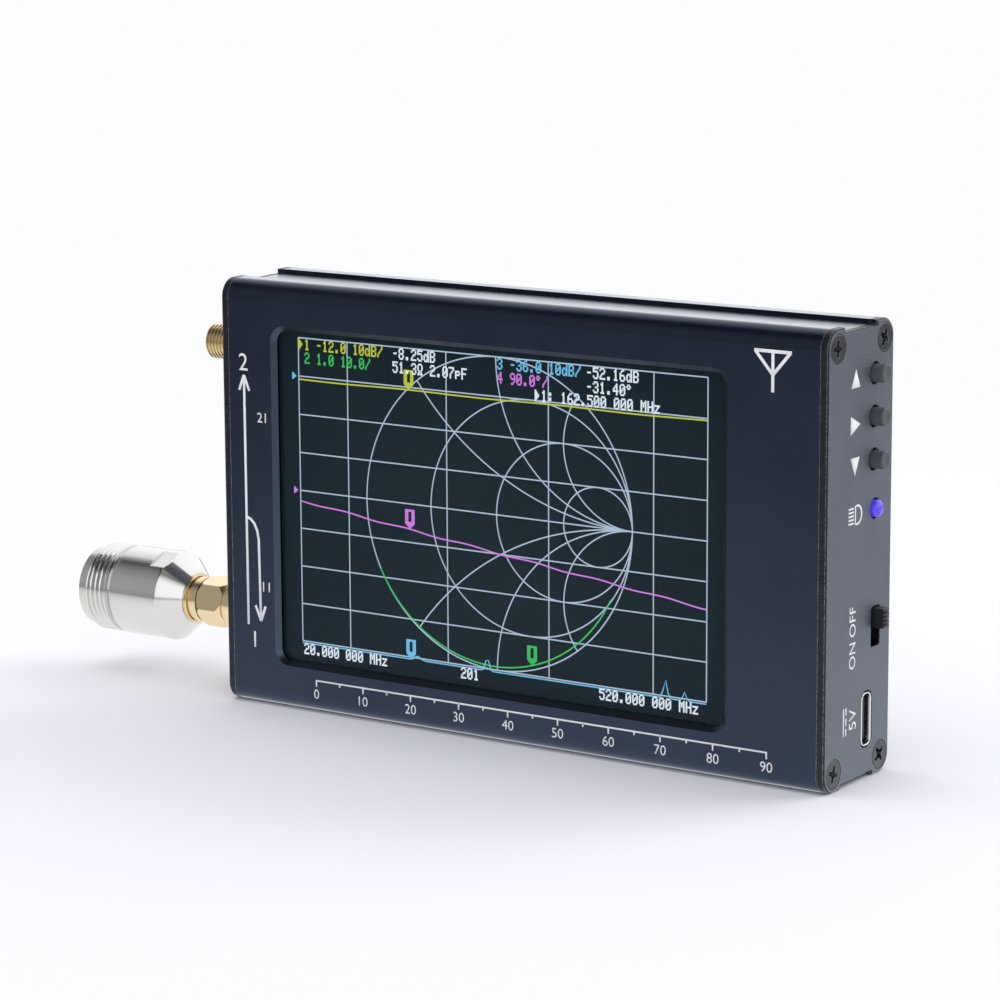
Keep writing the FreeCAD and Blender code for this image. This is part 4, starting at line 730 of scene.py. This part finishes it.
def screw_set(name, node, outer, turns):
    """Countersunk screws with a cross recess.

    The head is a disc of (r, angle) whose depth rises where the point lies within either bar of
    the cross, with walls that lean in as they go down."""
    parts = []
    recess, flat_radius, set_back = 0.85, 2.30, 0.02
    for (mid_y, mid_z), turn in zip(SCREW_SPOTS, turns):
        radius = np.concatenate([np.linspace(0, 1.75, 36), [2.0, 2.25, 2.36, 2.42, 2.45]])
        angle = np.linspace(0, 2 * np.pi, 120, endpoint=False)
        rr, aa = np.meshgrid(radius, angle, indexing="ij")
        u, v = rr * np.cos(aa + turn), rr * np.sin(aa + turn)
        core = np.clip((0.75 - rr) / 0.25, 0, 1)
        deep = recess * np.maximum(np.maximum(recess_bar(u, v), recess_bar(v, u)), core)
        depth = deep + np.where(rr > flat_radius, (rr - flat_radius) * 0.9, 0)
        face = outer * (HALF_LENGTH - set_back - depth)
        top = np.concatenate([face[..., None], polar(mid_y, mid_z, rr, aa)], -1)
        lower = [(2.45, 0.18), (2.40, 0.22), (1.25, 1.2), (1.25, 8.0), (0.0, 8.0)]
        skirt = np.stack([at_x(polar(mid_y, mid_z, r, angle), outer * (HALF_LENGTH - down))
                          for r, down in lower])
        parts.append(lofted(np.concatenate([top, skirt])))
    verts, faces = merged(parts)
    piece = place_mesh(name, verts, faces, SCREW, "case", "black_screw", sharp=32.0)
    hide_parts(node)


# Controls.

def button_piece(which, level):
    """A push rod: straight side, softened rim, and a very slightly dished end."""
    tip, root = HALF_LENGTH + 2.1, BUTTON_ROOT
    dish = np.array([[tip - 0.10 * (1 - (r / 1.2) ** 2), r] for r in np.linspace(0, 1.2, 8)])
    rim = np.array([[tip, 1.28], [tip - 0.04, 1.39], [tip - 0.12, 1.46], [tip - 0.24, BUTTON_RADIUS],
                    [root, BUTTON_RADIUS], [root, 0]])
    points = turned(np.concatenate([dish, rim]), y=BUTTON_Y, z=level, steps=72, loop=False)
    piece = place_mesh(which + "_button_cap", *points, BUTTON, which + "_button", "button_grey", sharp=40.0)
    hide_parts(which + "_button")


def slider_piece():
    """The slide knob: a bar whose outer end carries five ridges, each a rounded saw tooth."""
    low, high = SLIDER_Z - 1.65, SLIDER_Z + 1.65
    near, far = SLIDER_Y - SLIDER_HALF, SLIDER_Y + SLIDER_HALF
    tip, root = HALF_LENGTH + 2.0, 54.8
    ridges, ridge_depth = 5, 0.34
    level = np.linspace(low, high, 101)
    tooth = ((level - low) / (high - low) * ridges) % 1.0
    tops = tip - ridge_depth * np.clip(np.abs(tooth - 0.5) * 2 * 1.8 - 0.8, 0, 1)
    outline = np.concatenate([np.stack([tops, level], -1), [[root, high], [root, low]]])
    ease = 0.12
    rings = []
    for y, inset in ((near, ease), (near + ease, 0.0), (far - ease, 0.0), (far, ease)):
        shrunk = np.stack([outline[:, 0] - inset * (outline[:, 0] > root + 0.1),
                           np.clip(outline[:, 1], low + inset, high - inset)], -1)
        rings.append(np.stack([shrunk[:, 0], np.full(len(outline), y), shrunk[:, 1]], -1))
    skin = lofted(rings)
    caps = [(np.concatenate([rings[side]]), [list(range(len(outline)))]) for side in (0, -1)]
    verts, faces = merged([skin] + caps)
    piece = place_mesh("power_slider_knob", verts, faces, BLACK, "power_slider", "black_plastic",
                       sharp=30.0)
    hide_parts("power_slider")


def power_shell_piece():
    """The power socket's shell: a stadium carried from its outside, over a rolled rim, to its inside."""
    middle = np.array([POWER_Y, POWER_Z])
    across, tall, corner, wall = 3.26, 8.94, 1.25, 0.30
    stations = [(52.7, 0.0), (59.85, 0.0), (59.94, 0.03), (60.0, 0.10), (60.0, 0.20), (59.94, 0.27),
                (59.85, wall), (53.0, wall)]
    rings = []
    for x, inset in stations:
        loop = stadium(across - 2 * inset, tall - 2 * inset, corner=corner - inset, steps=16) + middle
        rings.append(at_x(loop, x))
    verts, faces = merged([lofted(rings), lid(rings[0]), lid(rings[-1])])
    piece = place_mesh("power_socket_shell", verts, faces, BRIGHT, "case", "socket_metal", sharp=40.0)
    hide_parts("power_shell")


def lamp_piece():
    """The lamp's lens: a round rod with a domed end and a flange behind the plate."""
    dome = [[HALF_LENGTH + 0.25 + 0.9 * math.cos(a), LAMP_RADIUS * math.sin(a)]
            for a in np.linspace(0, math.pi / 2, 14)]
    flange, flange_front, flange_back = 1.85, 57.5, 56.5
    rest = [[flange_front, LAMP_RADIUS], [flange_front, flange], [flange_back, flange], [flange_back, 0]]
    skin = turned(np.array(dome + rest), y=LAMP_Y, z=LAMP_Z, steps=64, loop=False)
    legs = []
    for side in (-1, 1):
        z = LAMP_Z + side * 1.0
        rings = [[[x, y, z + dz] for y, dz in ((1.5, -0.25), (1.5, 0.25), (5.55, 0.25), (5.55, -0.25))]
                 for x in (56.0, flange_back)]
        legs += [lofted(rings), lid(rings[0]), lid(rings[1])]
    verts, faces = merged([skin] + legs)
    piece = place_mesh("status_lamp_lens", verts, faces, LAMP, "case", "lamp_violet", sharp=40.0)
    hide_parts("status_lamp")


# Adapter.

def flats_rule(count, across, low, high, turn):
    """A radius rule that mills flats between low and high: no point lies further from the axis
    than the nearest flat, at half of the width across flats over the cosine to that flat."""
    share = 2 * np.pi / count

    def rule(along, radius, angle):
        """The radius held within the flats."""
        off = (angle - turn + share / 2) % share - share / 2
        flat = across / 2 / np.maximum(np.cos(off), 0.2)
        return np.where((along > low) & (along < high), np.minimum(radius, flat), radius)

    return rule


def adapter_piece():
    """The adapter's polished shell: lead, helical thread, undercut, body, two wrench flats and cone."""
    corners = [(-97.7, 4.56), (-97.7, 7.3), (-95.7, 7.3), (-95.7, 7.94), (-91.1, 7.94), (-91.1, 7.34),
               (-89.8, 8.05), (-82.61, 8.05), (-82.59, 8.05), (-79.5, 8.05), (-75.6, 4.7), (-75.6, 2.4),
               (-88.7, 2.4), (-88.7, 4.06), (-97.2, 4.06)]
    profile = softened(corners, 0.10)
    profile = densified(profile, -96.0, -90.9, 0.05)
    profile = densified(profile, -79.6, -75.5, 0.12)
    profile = densified(profile, -89.9, -79.4, 0.5)
    helix = thread_rule(-95.7, -91.1, pitch=1.0583, depth=0.6, only_above=7.6)
    flats = flats_rule(2, across=15.3, low=-82.6, high=-75.0, turn=math.radians(112))
    verts, faces = turned(profile, lambda x, r, a: flats(x, helix(x, r, a), a), steps=240)
    piece = place_mesh("adapter_shell", verts, faces, NICKEL, "adapter", "bright_nickel", sharp=28.0)
    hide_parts("adapter_body")


def coupling_piece():
    """The coupling nut: a hexagon with its ends turned down so that each flat has round corners,
    then a groove and a plain collar at the case, with a stepped bore."""
    low, hexagon_end, high = -73.1, -67.5, -65.0
    reach, face, ease = 8 / math.sqrt(3), 4.06, 1.0
    mouth, bore, neck, collar = 2.68, 3.255, 3.75, 4.3
    corners = [(low, mouth), (low, face), (low + ease, reach), (hexagon_end - ease, reach),
               (hexagon_end, face), (hexagon_end + 0.1, neck), (hexagon_end + 0.45, neck),
               (hexagon_end + 0.5, collar), (high, collar), (high, bore), (low + 1.1, bore),
               (low + 1.1, mouth)]
    profile = softened(corners, 0.12)
    profile = densified(profile, low - 0.1, hexagon_end + 0.1, 0.06)
    flats = flats_rule(6, across=8.0, low=low - 1, high=hexagon_end + 0.1, turn=math.radians(160))
    verts, faces = turned(profile, flats, steps=240)
    piece = place_mesh("coupling_nut_shell", verts, faces, GOLD, "coupling", "gilt", sharp=28.0)
    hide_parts("coupling_nut")


# Screen.

def strip(points, width, closed=False):
    """A flat line along (u, v) points: each point is moved half a width to either side, along the
    mean of its two neighbouring directions turned by a right angle."""
    points = np.asarray(points, float)
    if closed:
        step = np.roll(points, -1, 0) - np.roll(points, 1, 0)
    else:
        step = np.gradient(points, axis=0)
    side = np.stack([-step[:, 1], step[:, 0]], -1) / np.maximum(np.linalg.norm(step, axis=1), 1e-9)[:, None]
    pair = np.stack([points - side * width / 2, points + side * width / 2], 1)
    count = len(points)
    start = np.arange(count if closed else count - 1)
    after = (start + 1) % count
    faces = np.stack([2 * start, 2 * after, 2 * after + 1, 2 * start + 1], -1)
    return pair.reshape(-1, 2), faces


def flat_piece(name, parts, finish_used, slot, plane, depth, thick=PRINT_THICK):
    """Flat (u, v) shapes as one thin piece: plane "front" puts u on X and v on Z at y = depth,
    and "right" puts u on Y and v on Z at x = depth. Neighbours in the list lie LIFT apart."""
    lifted = [(np.concatenate([points, np.full((len(points), 1), LIFT * (index % 4))], 1), quads)
              for index, (points, quads) in enumerate(parts)]
    verts, faces = merged(lifted)
    u, v, lift = verts.T
    if plane == "front":
        placed = np.stack([u, depth - lift, v], -1)
        outward = Vector((0, -1, 0))
    else:
        placed = np.stack([depth + lift, u, v], -1)
        outward = Vector((1, 0, 0))
    piece = place_mesh(name, placed, faces, finish_used, "case", slot, weld=False)
    work = bmesh.new()
    work.from_mesh(piece.data)
    work.normal_update()
    bmesh.ops.reverse_faces(work, faces=[face for face in work.faces if face.normal.dot(outward) < 0])
    work.to_mesh(piece.data)
    work.free()
    solid = piece.modifiers.new("thickness", "SOLIDIFY")
    solid.thickness = thick * MM
    solid.offset = -1.0
    return piece


def arc_points(mid, radius, start=0.0, end=360.0, step=2.5):
    """Points along an arc, a step of degrees apart."""
    count = max(8, int(abs(end - start) / step) + 1)
    return polar(*mid, radius, np.radians(np.linspace(start, end, count)))


def block(low_u, low_v, high_u, high_v):
    """A flat rectangle."""
    corners = [[low_u, low_v], [high_u, low_v], [high_u, high_v], [low_u, high_v]]
    return np.array(corners, float), [[0, 1, 2, 3]]


GLYPHS = {
    "0": "01110 10001 10011 10101 11001 10001 01110", "1": "00100 01100 00100 00100 00100 00100 01110",
    "2": "01110 10001 00001 00110 01000 10000 11111", "3": "01110 10001 00001 00110 00001 10001 01110",
    "4": "00010 00110 01010 10010 11111 00010 00010", "5": "11111 10000 11110 00001 00001 10001 01110",
    "6": "00110 01000 10000 11110 10001 10001 01110", "7": "11111 00001 00010 00100 01000 01000 01000",
    "8": "01110 10001 10001 01110 10001 10001 01110", "9": "01110 10001 10001 01111 00001 00010 01100",
    ".": "00000 00000 00000 00000 00000 01100 01100", "-": "00000 00000 00000 01110 00000 00000 00000",
    "/": "00001 00001 00010 00100 01000 10000 10000", ":": "00000 01100 01100 00000 01100 01100 00000",
    "d": "00001 00001 01101 10011 10001 10011 01101", "B": "11110 10001 10001 11110 10001 10001 11110",
    "M": "10001 11011 10101 10101 10001 10001 10001", "H": "10001 10001 10001 11111 10001 10001 10001",
    "z": "00000 00000 11111 00010 00100 01000 11111", ">": "10000 11000 11100 11110 11100 11000 10000",
    "p": "00000 00000 11110 10001 11110 10000 10000", "F": "11111 10000 10000 11110 10000 10000 10000",
    "W": "01110 10001 10001 10001 01010 01010 11011", "o": "01100 10010 01100 00000 00000 00000 00000",
    "+": "00000 00100 00100 11111 00100 00100 00000", "x": "00000 00000 10001 01010 00100 01010 10001",
}


def pixel_text(words, left, top, pitch=1.285, tall=1.95):
    """Characters of seven rows of five dots; each lit dot is one small quad."""
    parts = []
    wide, high = pitch / 6.4, tall / 7
    for index, letter in enumerate(words):
        if letter == " ":
            continue
        for row, line in enumerate(GLYPHS[letter].split()):
            for column, lit in enumerate(line):
                if lit == "1":
                    u, v = left + index * pitch + column * wide, top - row * high
                    parts.append(block(u, v - high * 1.08, u + wide * 1.5, v))
    return parts


GRID_LEFT, GRID_RIGHT, GRID_TOP, GRID_LOW = -45.0, 36.9, 65.6, 12.1
COLUMNS = [0, 0.1265, 0.377, 0.627, 0.876, 1]
ROW = (GRID_TOP - GRID_LOW) / 8
CHART = ((GRID_LEFT + GRID_RIGHT) / 2, GRID_TOP - 4 * ROW)
CHART_R = 4 * ROW
LINE = 0.23


def grid_lines():
    """The upright and level lines of the grid."""
    parts = []
    for share in COLUMNS:
        u = GRID_LEFT + share * (GRID_RIGHT - GRID_LEFT)
        parts.append(strip([(u, GRID_TOP), (u, GRID_LOW)], LINE))
    for row in range(9):
        v = GRID_TOP - row * ROW
        parts.append(strip([(GRID_LEFT, v), (GRID_RIGHT, v)], LINE))
    return parts


def chart_lines():
    """The chart's circles: constant resistance r touches the right point with radius R / (1 + r),
    and constant reactance x is an arc of radius R / x about a point above or below it."""
    mid_u, mid_v = CHART
    parts = [strip(arc_points(CHART, CHART_R)[:-1], LINE, closed=True)]
    for resistance in (1 / 3, 1, 3):
        radius = CHART_R / (1 + resistance)
        parts.append(strip(arc_points((mid_u + CHART_R - radius, mid_v), radius)[:-1], LINE, closed=True))
    for reactance in (0.5, 1, 2):
        radius = CHART_R / reactance
        for side in (1, -1):
            around = arc_points((mid_u + CHART_R, mid_v + side * radius), radius, 0, 360, 0.5)
            near = np.hypot(around[:, 0] - mid_u, around[:, 1] - mid_v) <= CHART_R * 1.0005
            start = int(np.argmax(~near))
            around, near = np.roll(around[:-1], -start, 0), np.roll(near[:-1], -start)
            parts.append(strip(around[near], LINE))
    return parts


def flag(u, v):
    """A marker flag over a trace: a small panel that ends in a point, with its number left dark."""
    wide, tall = 2.0, 2.5
    half, low, high, stroke = wide / 2, v + 0.9, v + 0.9 + tall, 0.32
    body = [block(u - half, low, u - stroke, high), block(u + stroke, low, u + half, high),
            block(u - stroke, high - 0.4, u + stroke, high), block(u - stroke, low, u + stroke, low + 0.35)]
    tip = (np.array([[u - half, low], [u, v], [u + half, low]]), [[0, 1, 2]])
    return body + [tip]


def traces():
    """Four traces, each a smooth function of its share of the sweep."""
    sweep = np.linspace(0, 1, 160)

    def run(levels):
        """Points along the sweep at levels counted in rows from the top."""
        u = GRID_LEFT + sweep * (GRID_RIGHT - GRID_LEFT)
        return np.stack([u, GRID_TOP - levels * ROW], -1)

    first = run(1.08 - 0.02 * sweep + 0.012 * np.sin(sweep * 17))
    phase = run(4.27 + 1.41 * sweep + 0.02 * np.sin(sweep * 40))
    turn = np.linspace(3.60, 5.80, 120)
    reach = CHART_R * np.linspace(1.0, 0.955, 120)
    bowl = polar(*CHART, reach, turn)
    peaks = 8.05
    for tall, spot, wide in ((0.35, 0.475, 0.006), (0.45, 0.905, 0.006), (0.22, 0.95, 0.005),
                             (0.1, 0.3, 0.01)):
        peaks = peaks - tall * np.exp(-((sweep - spot) / wide) ** 2)
    return first, phase, bowl, run(peaks)


LIT = {"white": (0.42, 0.52, 0.66), "letters": (0.76, 0.84, 0.94), "yellow": (0.50, 0.55, 0.04),
       "green": (0.03, 0.50, 0.09), "magenta": (0.62, 0.20, 0.74), "cyan": (0.16, 0.52, 0.80)}


def screen():
    """Everything lit on the display, in thin layers just in front of its panel."""
    lit = {name: glow("lit_" + name, colour) for name, colour in LIT.items()}

    def layer(name, parts, look, order):
        """One flat piece, further out the higher its order."""
        flat_piece(name, parts, look, "panel", "front", PANEL_Y - 0.012 * order, thick=0.008)

    low, high = (np.array(corner)[[0, 2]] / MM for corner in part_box("display_panel"))
    ground = stadium(*(high - low), corner=0.5) + (low + high) / 2
    layer("screen_ground", [(ground, [list(range(len(ground)))])], GROUND, 0.4)
    layer("screen_grid", grid_lines(), lit["white"], 1)
    layer("screen_chart", chart_lines(), lit["white"], 2)
    first, phase, bowl, quiet = traces()
    top, foot = GRID_TOP - 0.1, GRID_LOW - 0.35
    second = top - 2.35
    left, right = GRID_LEFT + 1.3, GRID_LEFT + 41.2
    level_mark = {"left": GRID_LEFT - 1.4, "tall": 1.2}
    stroke = 0.26
    layer("screen_first", [strip(first, stroke)] + flag(*first[45]) + pixel_text(">", GRID_LEFT, top)
          + pixel_text("1 -12.0 10dB/", left, top), lit["yellow"], 3)
    layer("screen_phase", [strip(phase, stroke)] + flag(*phase[45])
          + pixel_text(">", top=GRID_TOP - 4 * ROW + 0.6, **level_mark)
          + pixel_text("4 90.0o/", right, second), lit["magenta"], 4)
    layer("screen_bowl", [strip(bowl, stroke)] + flag(*bowl[75])
          + pixel_text("2 1.0 10.0/", left, second), lit["green"], 5)
    layer("screen_quiet", [strip(quiet, 0.22)] + flag(*quiet[45])
          + pixel_text(">", top=GRID_TOP - ROW + 0.6, **level_mark)
          + pixel_text("3 -36.0 10dB/", right, top), lit["cyan"], 6)
    readings = [("-8.25dB", left + 18.6, top), ("51.3W 2.07pF", left + 18.6, second),
                ("-52.16dB", right + 17.6, top), ("-31.40o", right + 17.6, second),
                (">1: 162.500 000 MHz", right + 7.5, top - 4.7),
                ("20.000 000 MHz", GRID_LEFT + 0.3, foot), ("201", GRID_LEFT + 33.5, foot),
                ("520.000 000 MHz", GRID_RIGHT - 20.6, foot)]
    layer("screen_readings", [dot for reading in readings for dot in pixel_text(*reading)],
          lit["letters"], 7)


# Prints.

def words(text, height, middle_u, middle_v, turn=0.0):
    """Plain lettering in the built-in face as flat (u, v) faces, centred on a point."""
    curve = bpy.data.curves.new("lettering", "FONT")
    curve.body = text
    curve.resolution_u = 4
    maker = new_object("lettering", curve)
    bpy.context.view_layer.update()
    mesh = bpy.data.meshes.new_from_object(maker)
    points = np.zeros(len(mesh.vertices) * 3)
    mesh.vertices.foreach_get("co", points)
    points = points.reshape(-1, 3)[:, :2]
    faces = [list(face.vertices) for face in mesh.polygons]
    bpy.data.objects.remove(maker)
    bpy.data.curves.remove(curve)
    bpy.data.meshes.remove(mesh)
    low, high = points.min(0), points.max(0)
    points = (points - (low + high) / 2) * (height / (high[1] - low[1]))
    spin = np.array([[math.cos(turn), -math.sin(turn)], [math.sin(turn), math.cos(turn)]])
    return points @ spin.T + np.array([middle_u, middle_v]), faces


def arrow(points, width, head):
    """A line that ends in an open arrowhead at its last point."""
    points = np.asarray(points, float)
    way = points[-1] - points[-2]
    way = way / np.linalg.norm(way)
    across = np.array([-way[1], way[0]])
    tip = points[-1]
    left = tip - way * head + across * head * 0.42
    right = tip - way * head - across * head * 0.42
    crown = tip + way * 0.1
    return [strip(points, width), strip([left, crown], width), strip([right, crown], width)]


def front_prints():
    """Port numbers with their signal arrows, a numbered scale, and the sign for an aerial."""
    line = 0.5
    bend = np.array([[-55.1, 33.4], [-54.4, 33.15], [-53.6, 32.4], [-53.0, 31.2], [-52.7, 29.6],
                     [-52.5, 15.2]])
    parts = arrow([(-55.25, 14.2), (-55.3, 58.4)], line, 2.6)
    parts += arrow(bend, line, 2.6)
    parts += [words(*each) for each in (("2", 3.0, -55.4, 60.8), ("1", 2.8, -53.9, 11.7),
                                        ("21", 1.7, -51.6, 51.3), ("11", 1.7, -51.2, 21.3))]
    scale, thin = 5.9, 0.30
    for step in range(19):
        u = -40.6 + step * 5.0
        tall = 1.1 if step % 2 == 0 else 0.6
        parts.append(strip([(u, scale), (u, scale - tall)], thin))
        if step % 2 == 0:
            parts.append(words(str(step * 5), 1.7, u, 3.5))
    parts.append(strip([(-40.71, scale), (49.55, scale)], thin))
    mid_u, top, fork = 50.0, 71.4, 67.4
    parts += [strip(ends, 0.55) for ends in (
        [(mid_u, 64.6), (mid_u, top)], [(mid_u - 3.4, top - 0.25), (mid_u + 3.4, top - 0.25)],
        [(mid_u - 3.2, top - 0.3), (mid_u, fork)], [(mid_u + 3.2, top - 0.3), (mid_u, fork)])]
    flat_piece("front_print", parts, PAINT, "shell_finish", "front", FACE_Y - 0.018)


def right_prints():
    """Arrow signs by the buttons, a lamp sign, ON and OFF by the switch, and the supply voltage."""
    parts = [(np.array(corners), [[0, 1, 2]]) for corners in (
        [(-1.84, 67.97), (-3.32, 64.95), (-0.38, 64.95)], [(-3.38, 60.52), (-3.38, 57.47), (-0.2, 58.97)],
        [(-3.3, 53.73), (-1.8, 50.72), (-0.35, 53.73)])]
    lamp = np.concatenate([arc_points((-0.9, 44.35), 1.5, 90, -90, 8), [[-1.5, 42.85], [-1.5, 45.85]]])
    line, thin = 0.36, 0.30
    parts.append(strip(lamp, line, closed=True))
    for step in range(5):
        v = 43.15 + step * 0.6
        parts.append(strip([(-3.75, v), (-2.05, v)], thin))
    upward = math.radians(90)
    parts += [words(*each, turn=upward) for each in (
        ("OFF", 2.05, -1.95, 27.0), ("ON", 2.05, -1.95, 21.4), ("5V", 2.3, -1.6, 10.9))]
    parts.append(strip([(-4.6, 8.6), (-4.6, 13.2)], line))
    for step in range(3):
        parts.append(strip([(-3.8, 8.6 + step * 1.7), (-3.8, 9.8 + step * 1.7)], line))
    flat_piece("right_print", parts, PAINT, "plate_finish", "right", HALF_LENGTH + 0.018)


# Stage, lights, camera.

WHITE = (0.975, 0.980, 0.995)


def floor_finish():
    """Pale floor: it keeps the object's shadow near by and is plain white further off. Metal sees it
    as bright near the object and dim further away."""
    material, tree, shader, where = new_finish("pale_floor")
    cloud = noise(tree, where, 3.0, 2.0)
    tint = blend_colour(tree, cloud, (0.86, 0.86, 0.89), (0.885, 0.885, 0.91))
    wire(tree, shader, Base_Color=tint, Roughness=0.85, Specular_IOR_Level=0.1)
    reach = add(tree, "ShaderNodeVectorMath", operation="LENGTH")
    feed(tree, reach, 0, where)
    away = reach.outputs["Value"]
    shown, mirrored = add(tree, "ShaderNodeEmission"), add(tree, "ShaderNodeEmission")
    wire(tree, shown, Color=(*WHITE, 1))
    fall = ramp(tree, away, [(0, 1.0), (0.10, 1.0), (0.17, 0.78), (0.5, 0.32), (1, 0.32)])
    wire(tree, mirrored, Color=(0.97, 0.985, 1.0, 1), Strength=fall)
    near = mix_shader(tree, spread(tree, away, 0.08, 0.32), shader.outputs[0], shown.outputs[0])
    glossy = add(tree, "ShaderNodeLightPath").outputs["Is Glossy Ray"]
    feed(tree, tree.nodes["Material Output"], "Surface",
         mix_shader(tree, glossy, near, mirrored.outputs[0]))
    material.cycles.emission_sampling = "NONE"
    return material


def stage():
    """The floor."""
    mesh = bpy.data.meshes.new("floor")
    reach = 3.0
    corners = [(-reach, -reach, 0), (reach, -reach, 0), (reach, reach, 0), (-reach, reach, 0)]
    mesh.from_pydata(corners, [], [(0, 1, 2, 3)])
    mesh.materials.append(floor_finish())
    floor = new_object("floor", mesh)


def mirrored_room(tree):
    """What metal sees above the floor: a grey room that darkens overhead, a bright wall behind the
    object, and a bright panel at its front right."""
    way = add(tree, "ShaderNodeTexCoord").outputs["Generated"]
    room = ramp(tree, parts_of(tree, way)[2],
                [(0, 0.36), (0.2, 0.42), (0.5, 0.40), (0.6, 0.35), (0.69, 0.29), (0.755, 0.20),
                 (0.79, 0.06), (1, 0.04)])
    wall = ramp(tree, facing(tree, way, (0.25, 0.933, 0.259)),
                [(0, 0.05), (0.16, 0.39), (0.29, 0.95), (0.41, 1.08), (0.5, 1.22), (1, 1.3)])
    panel = ramp(tree, facing(tree, way, (0.836, -0.483, 0.259)),
                 [(0, 0.0), (0.84, 0.0), (0.90, 0.85), (0.94, 1.25), (1, 1.25)])
    return maths(tree, "MAXIMUM", maths(tree, "MAXIMUM", room, wall), panel)


def world():
    """Even pale light, white where the camera or glass looks at it, and a studio room in metal."""
    sky = bpy.data.worlds.new("studio")
    bpy.context.scene.world = sky
    sky.use_nodes = True
    sky.cycles.sampling_method = "NONE"
    tree = sky.node_tree
    tree.nodes.clear()
    path = add(tree, "ShaderNodeLightPath")
    plain, shown, metal = [add(tree, "ShaderNodeBackground") for _ in range(3)]
    wire(tree, plain, Color=(0.935, 0.94, 1.0, 1), Strength=0.82)
    wire(tree, shown, Color=(*WHITE, 1))
    wire(tree, metal, Color=(0.98, 0.985, 1.0, 1), Strength=mirrored_room(tree))
    seen = maths(tree, "MAXIMUM", path.outputs["Is Camera Ray"], path.outputs["Is Transmission Ray"])
    room = mix_shader(tree, path.outputs["Is Glossy Ray"], plain.outputs[0], metal.outputs[0])
    out = add(tree, "ShaderNodeOutputWorld")
    feed(tree, out, 0, mix_shader(tree, seen, room, shown.outputs[0]))


def area_lamp(name, spot, target, size, power, colour=(1, 1, 1)):
    """A soft lamp at a spot, turned to its target."""
    lamp = bpy.data.lights.new(name, "AREA")
    lamp.shape = "RECTANGLE"
    lamp.size, lamp.size_y = size
    lamp.energy = power
    lamp.color = colour
    holder = new_object(name, lamp)
    holder.location = spot
    holder.rotation_euler = (Vector(target) - Vector(spot)).to_track_quat("-Z", "Y").to_euler()
    holder.visible_glossy = False


def lights():
    """A soft key from the back right and a fill from above."""
    area_lamp("key", (0.55, 0.75, 0.75), (0, 0, 0.03), (0.7, 0.7), 4.4)
    area_lamp("top", (-0.2, -0.1, 1.1), (0, 0, 0.03), (0.9, 0.9), 3.6, (0.98, 0.98, 1.0))


def camera():
    """The photograph's own camera: its lens, place and turn."""
    lens = bpy.data.cameras.new("camera")
    lens.sensor_fit = "HORIZONTAL"
    lens.sensor_width = 36.0
    focal_pixels, picture_pixels = 3716.0, 1000.0
    lens.lens = focal_pixels * lens.sensor_width / picture_pixels
    lens.clip_start, lens.clip_end = 0.01, 20.0
    eye = new_object("camera", lens)
    right = Vector((0.83028, 0.55732, -0.00533)).normalized()
    ahead = Vector((-0.54794, 0.8145, -0.19065)).normalized()
    up = right.cross(ahead).normalized()
    right = ahead.cross(up).normalized()
    turn = Matrix((right, up, -ahead)).transposed().to_4x4()
    eye.matrix_world = Matrix.Translation(Vector((0.33698, -0.51455, 0.15986))) @ turn
    bpy.context.scene.camera = eye


camera()
stage()
world()
lights()
dress_nodes()
end_plates()
screw_set("right_plate_screw_set", "right_plate_screws", 1, (0.3, 0.05, 0.9, 0.5))
screw_set("left_plate_screw_set", "left_plate_screws", -1, (0.7, 0.2, 1.1, 0.4))
for which, level in BUTTONS.items():
    button_piece(which, level)
slider_piece()
power_shell_piece()
lamp_piece()
adapter_piece()
coupling_piece()
screen()
front_prints()
right_prints()

bpy.context.scene.view_settings.view_transform = "Standard"
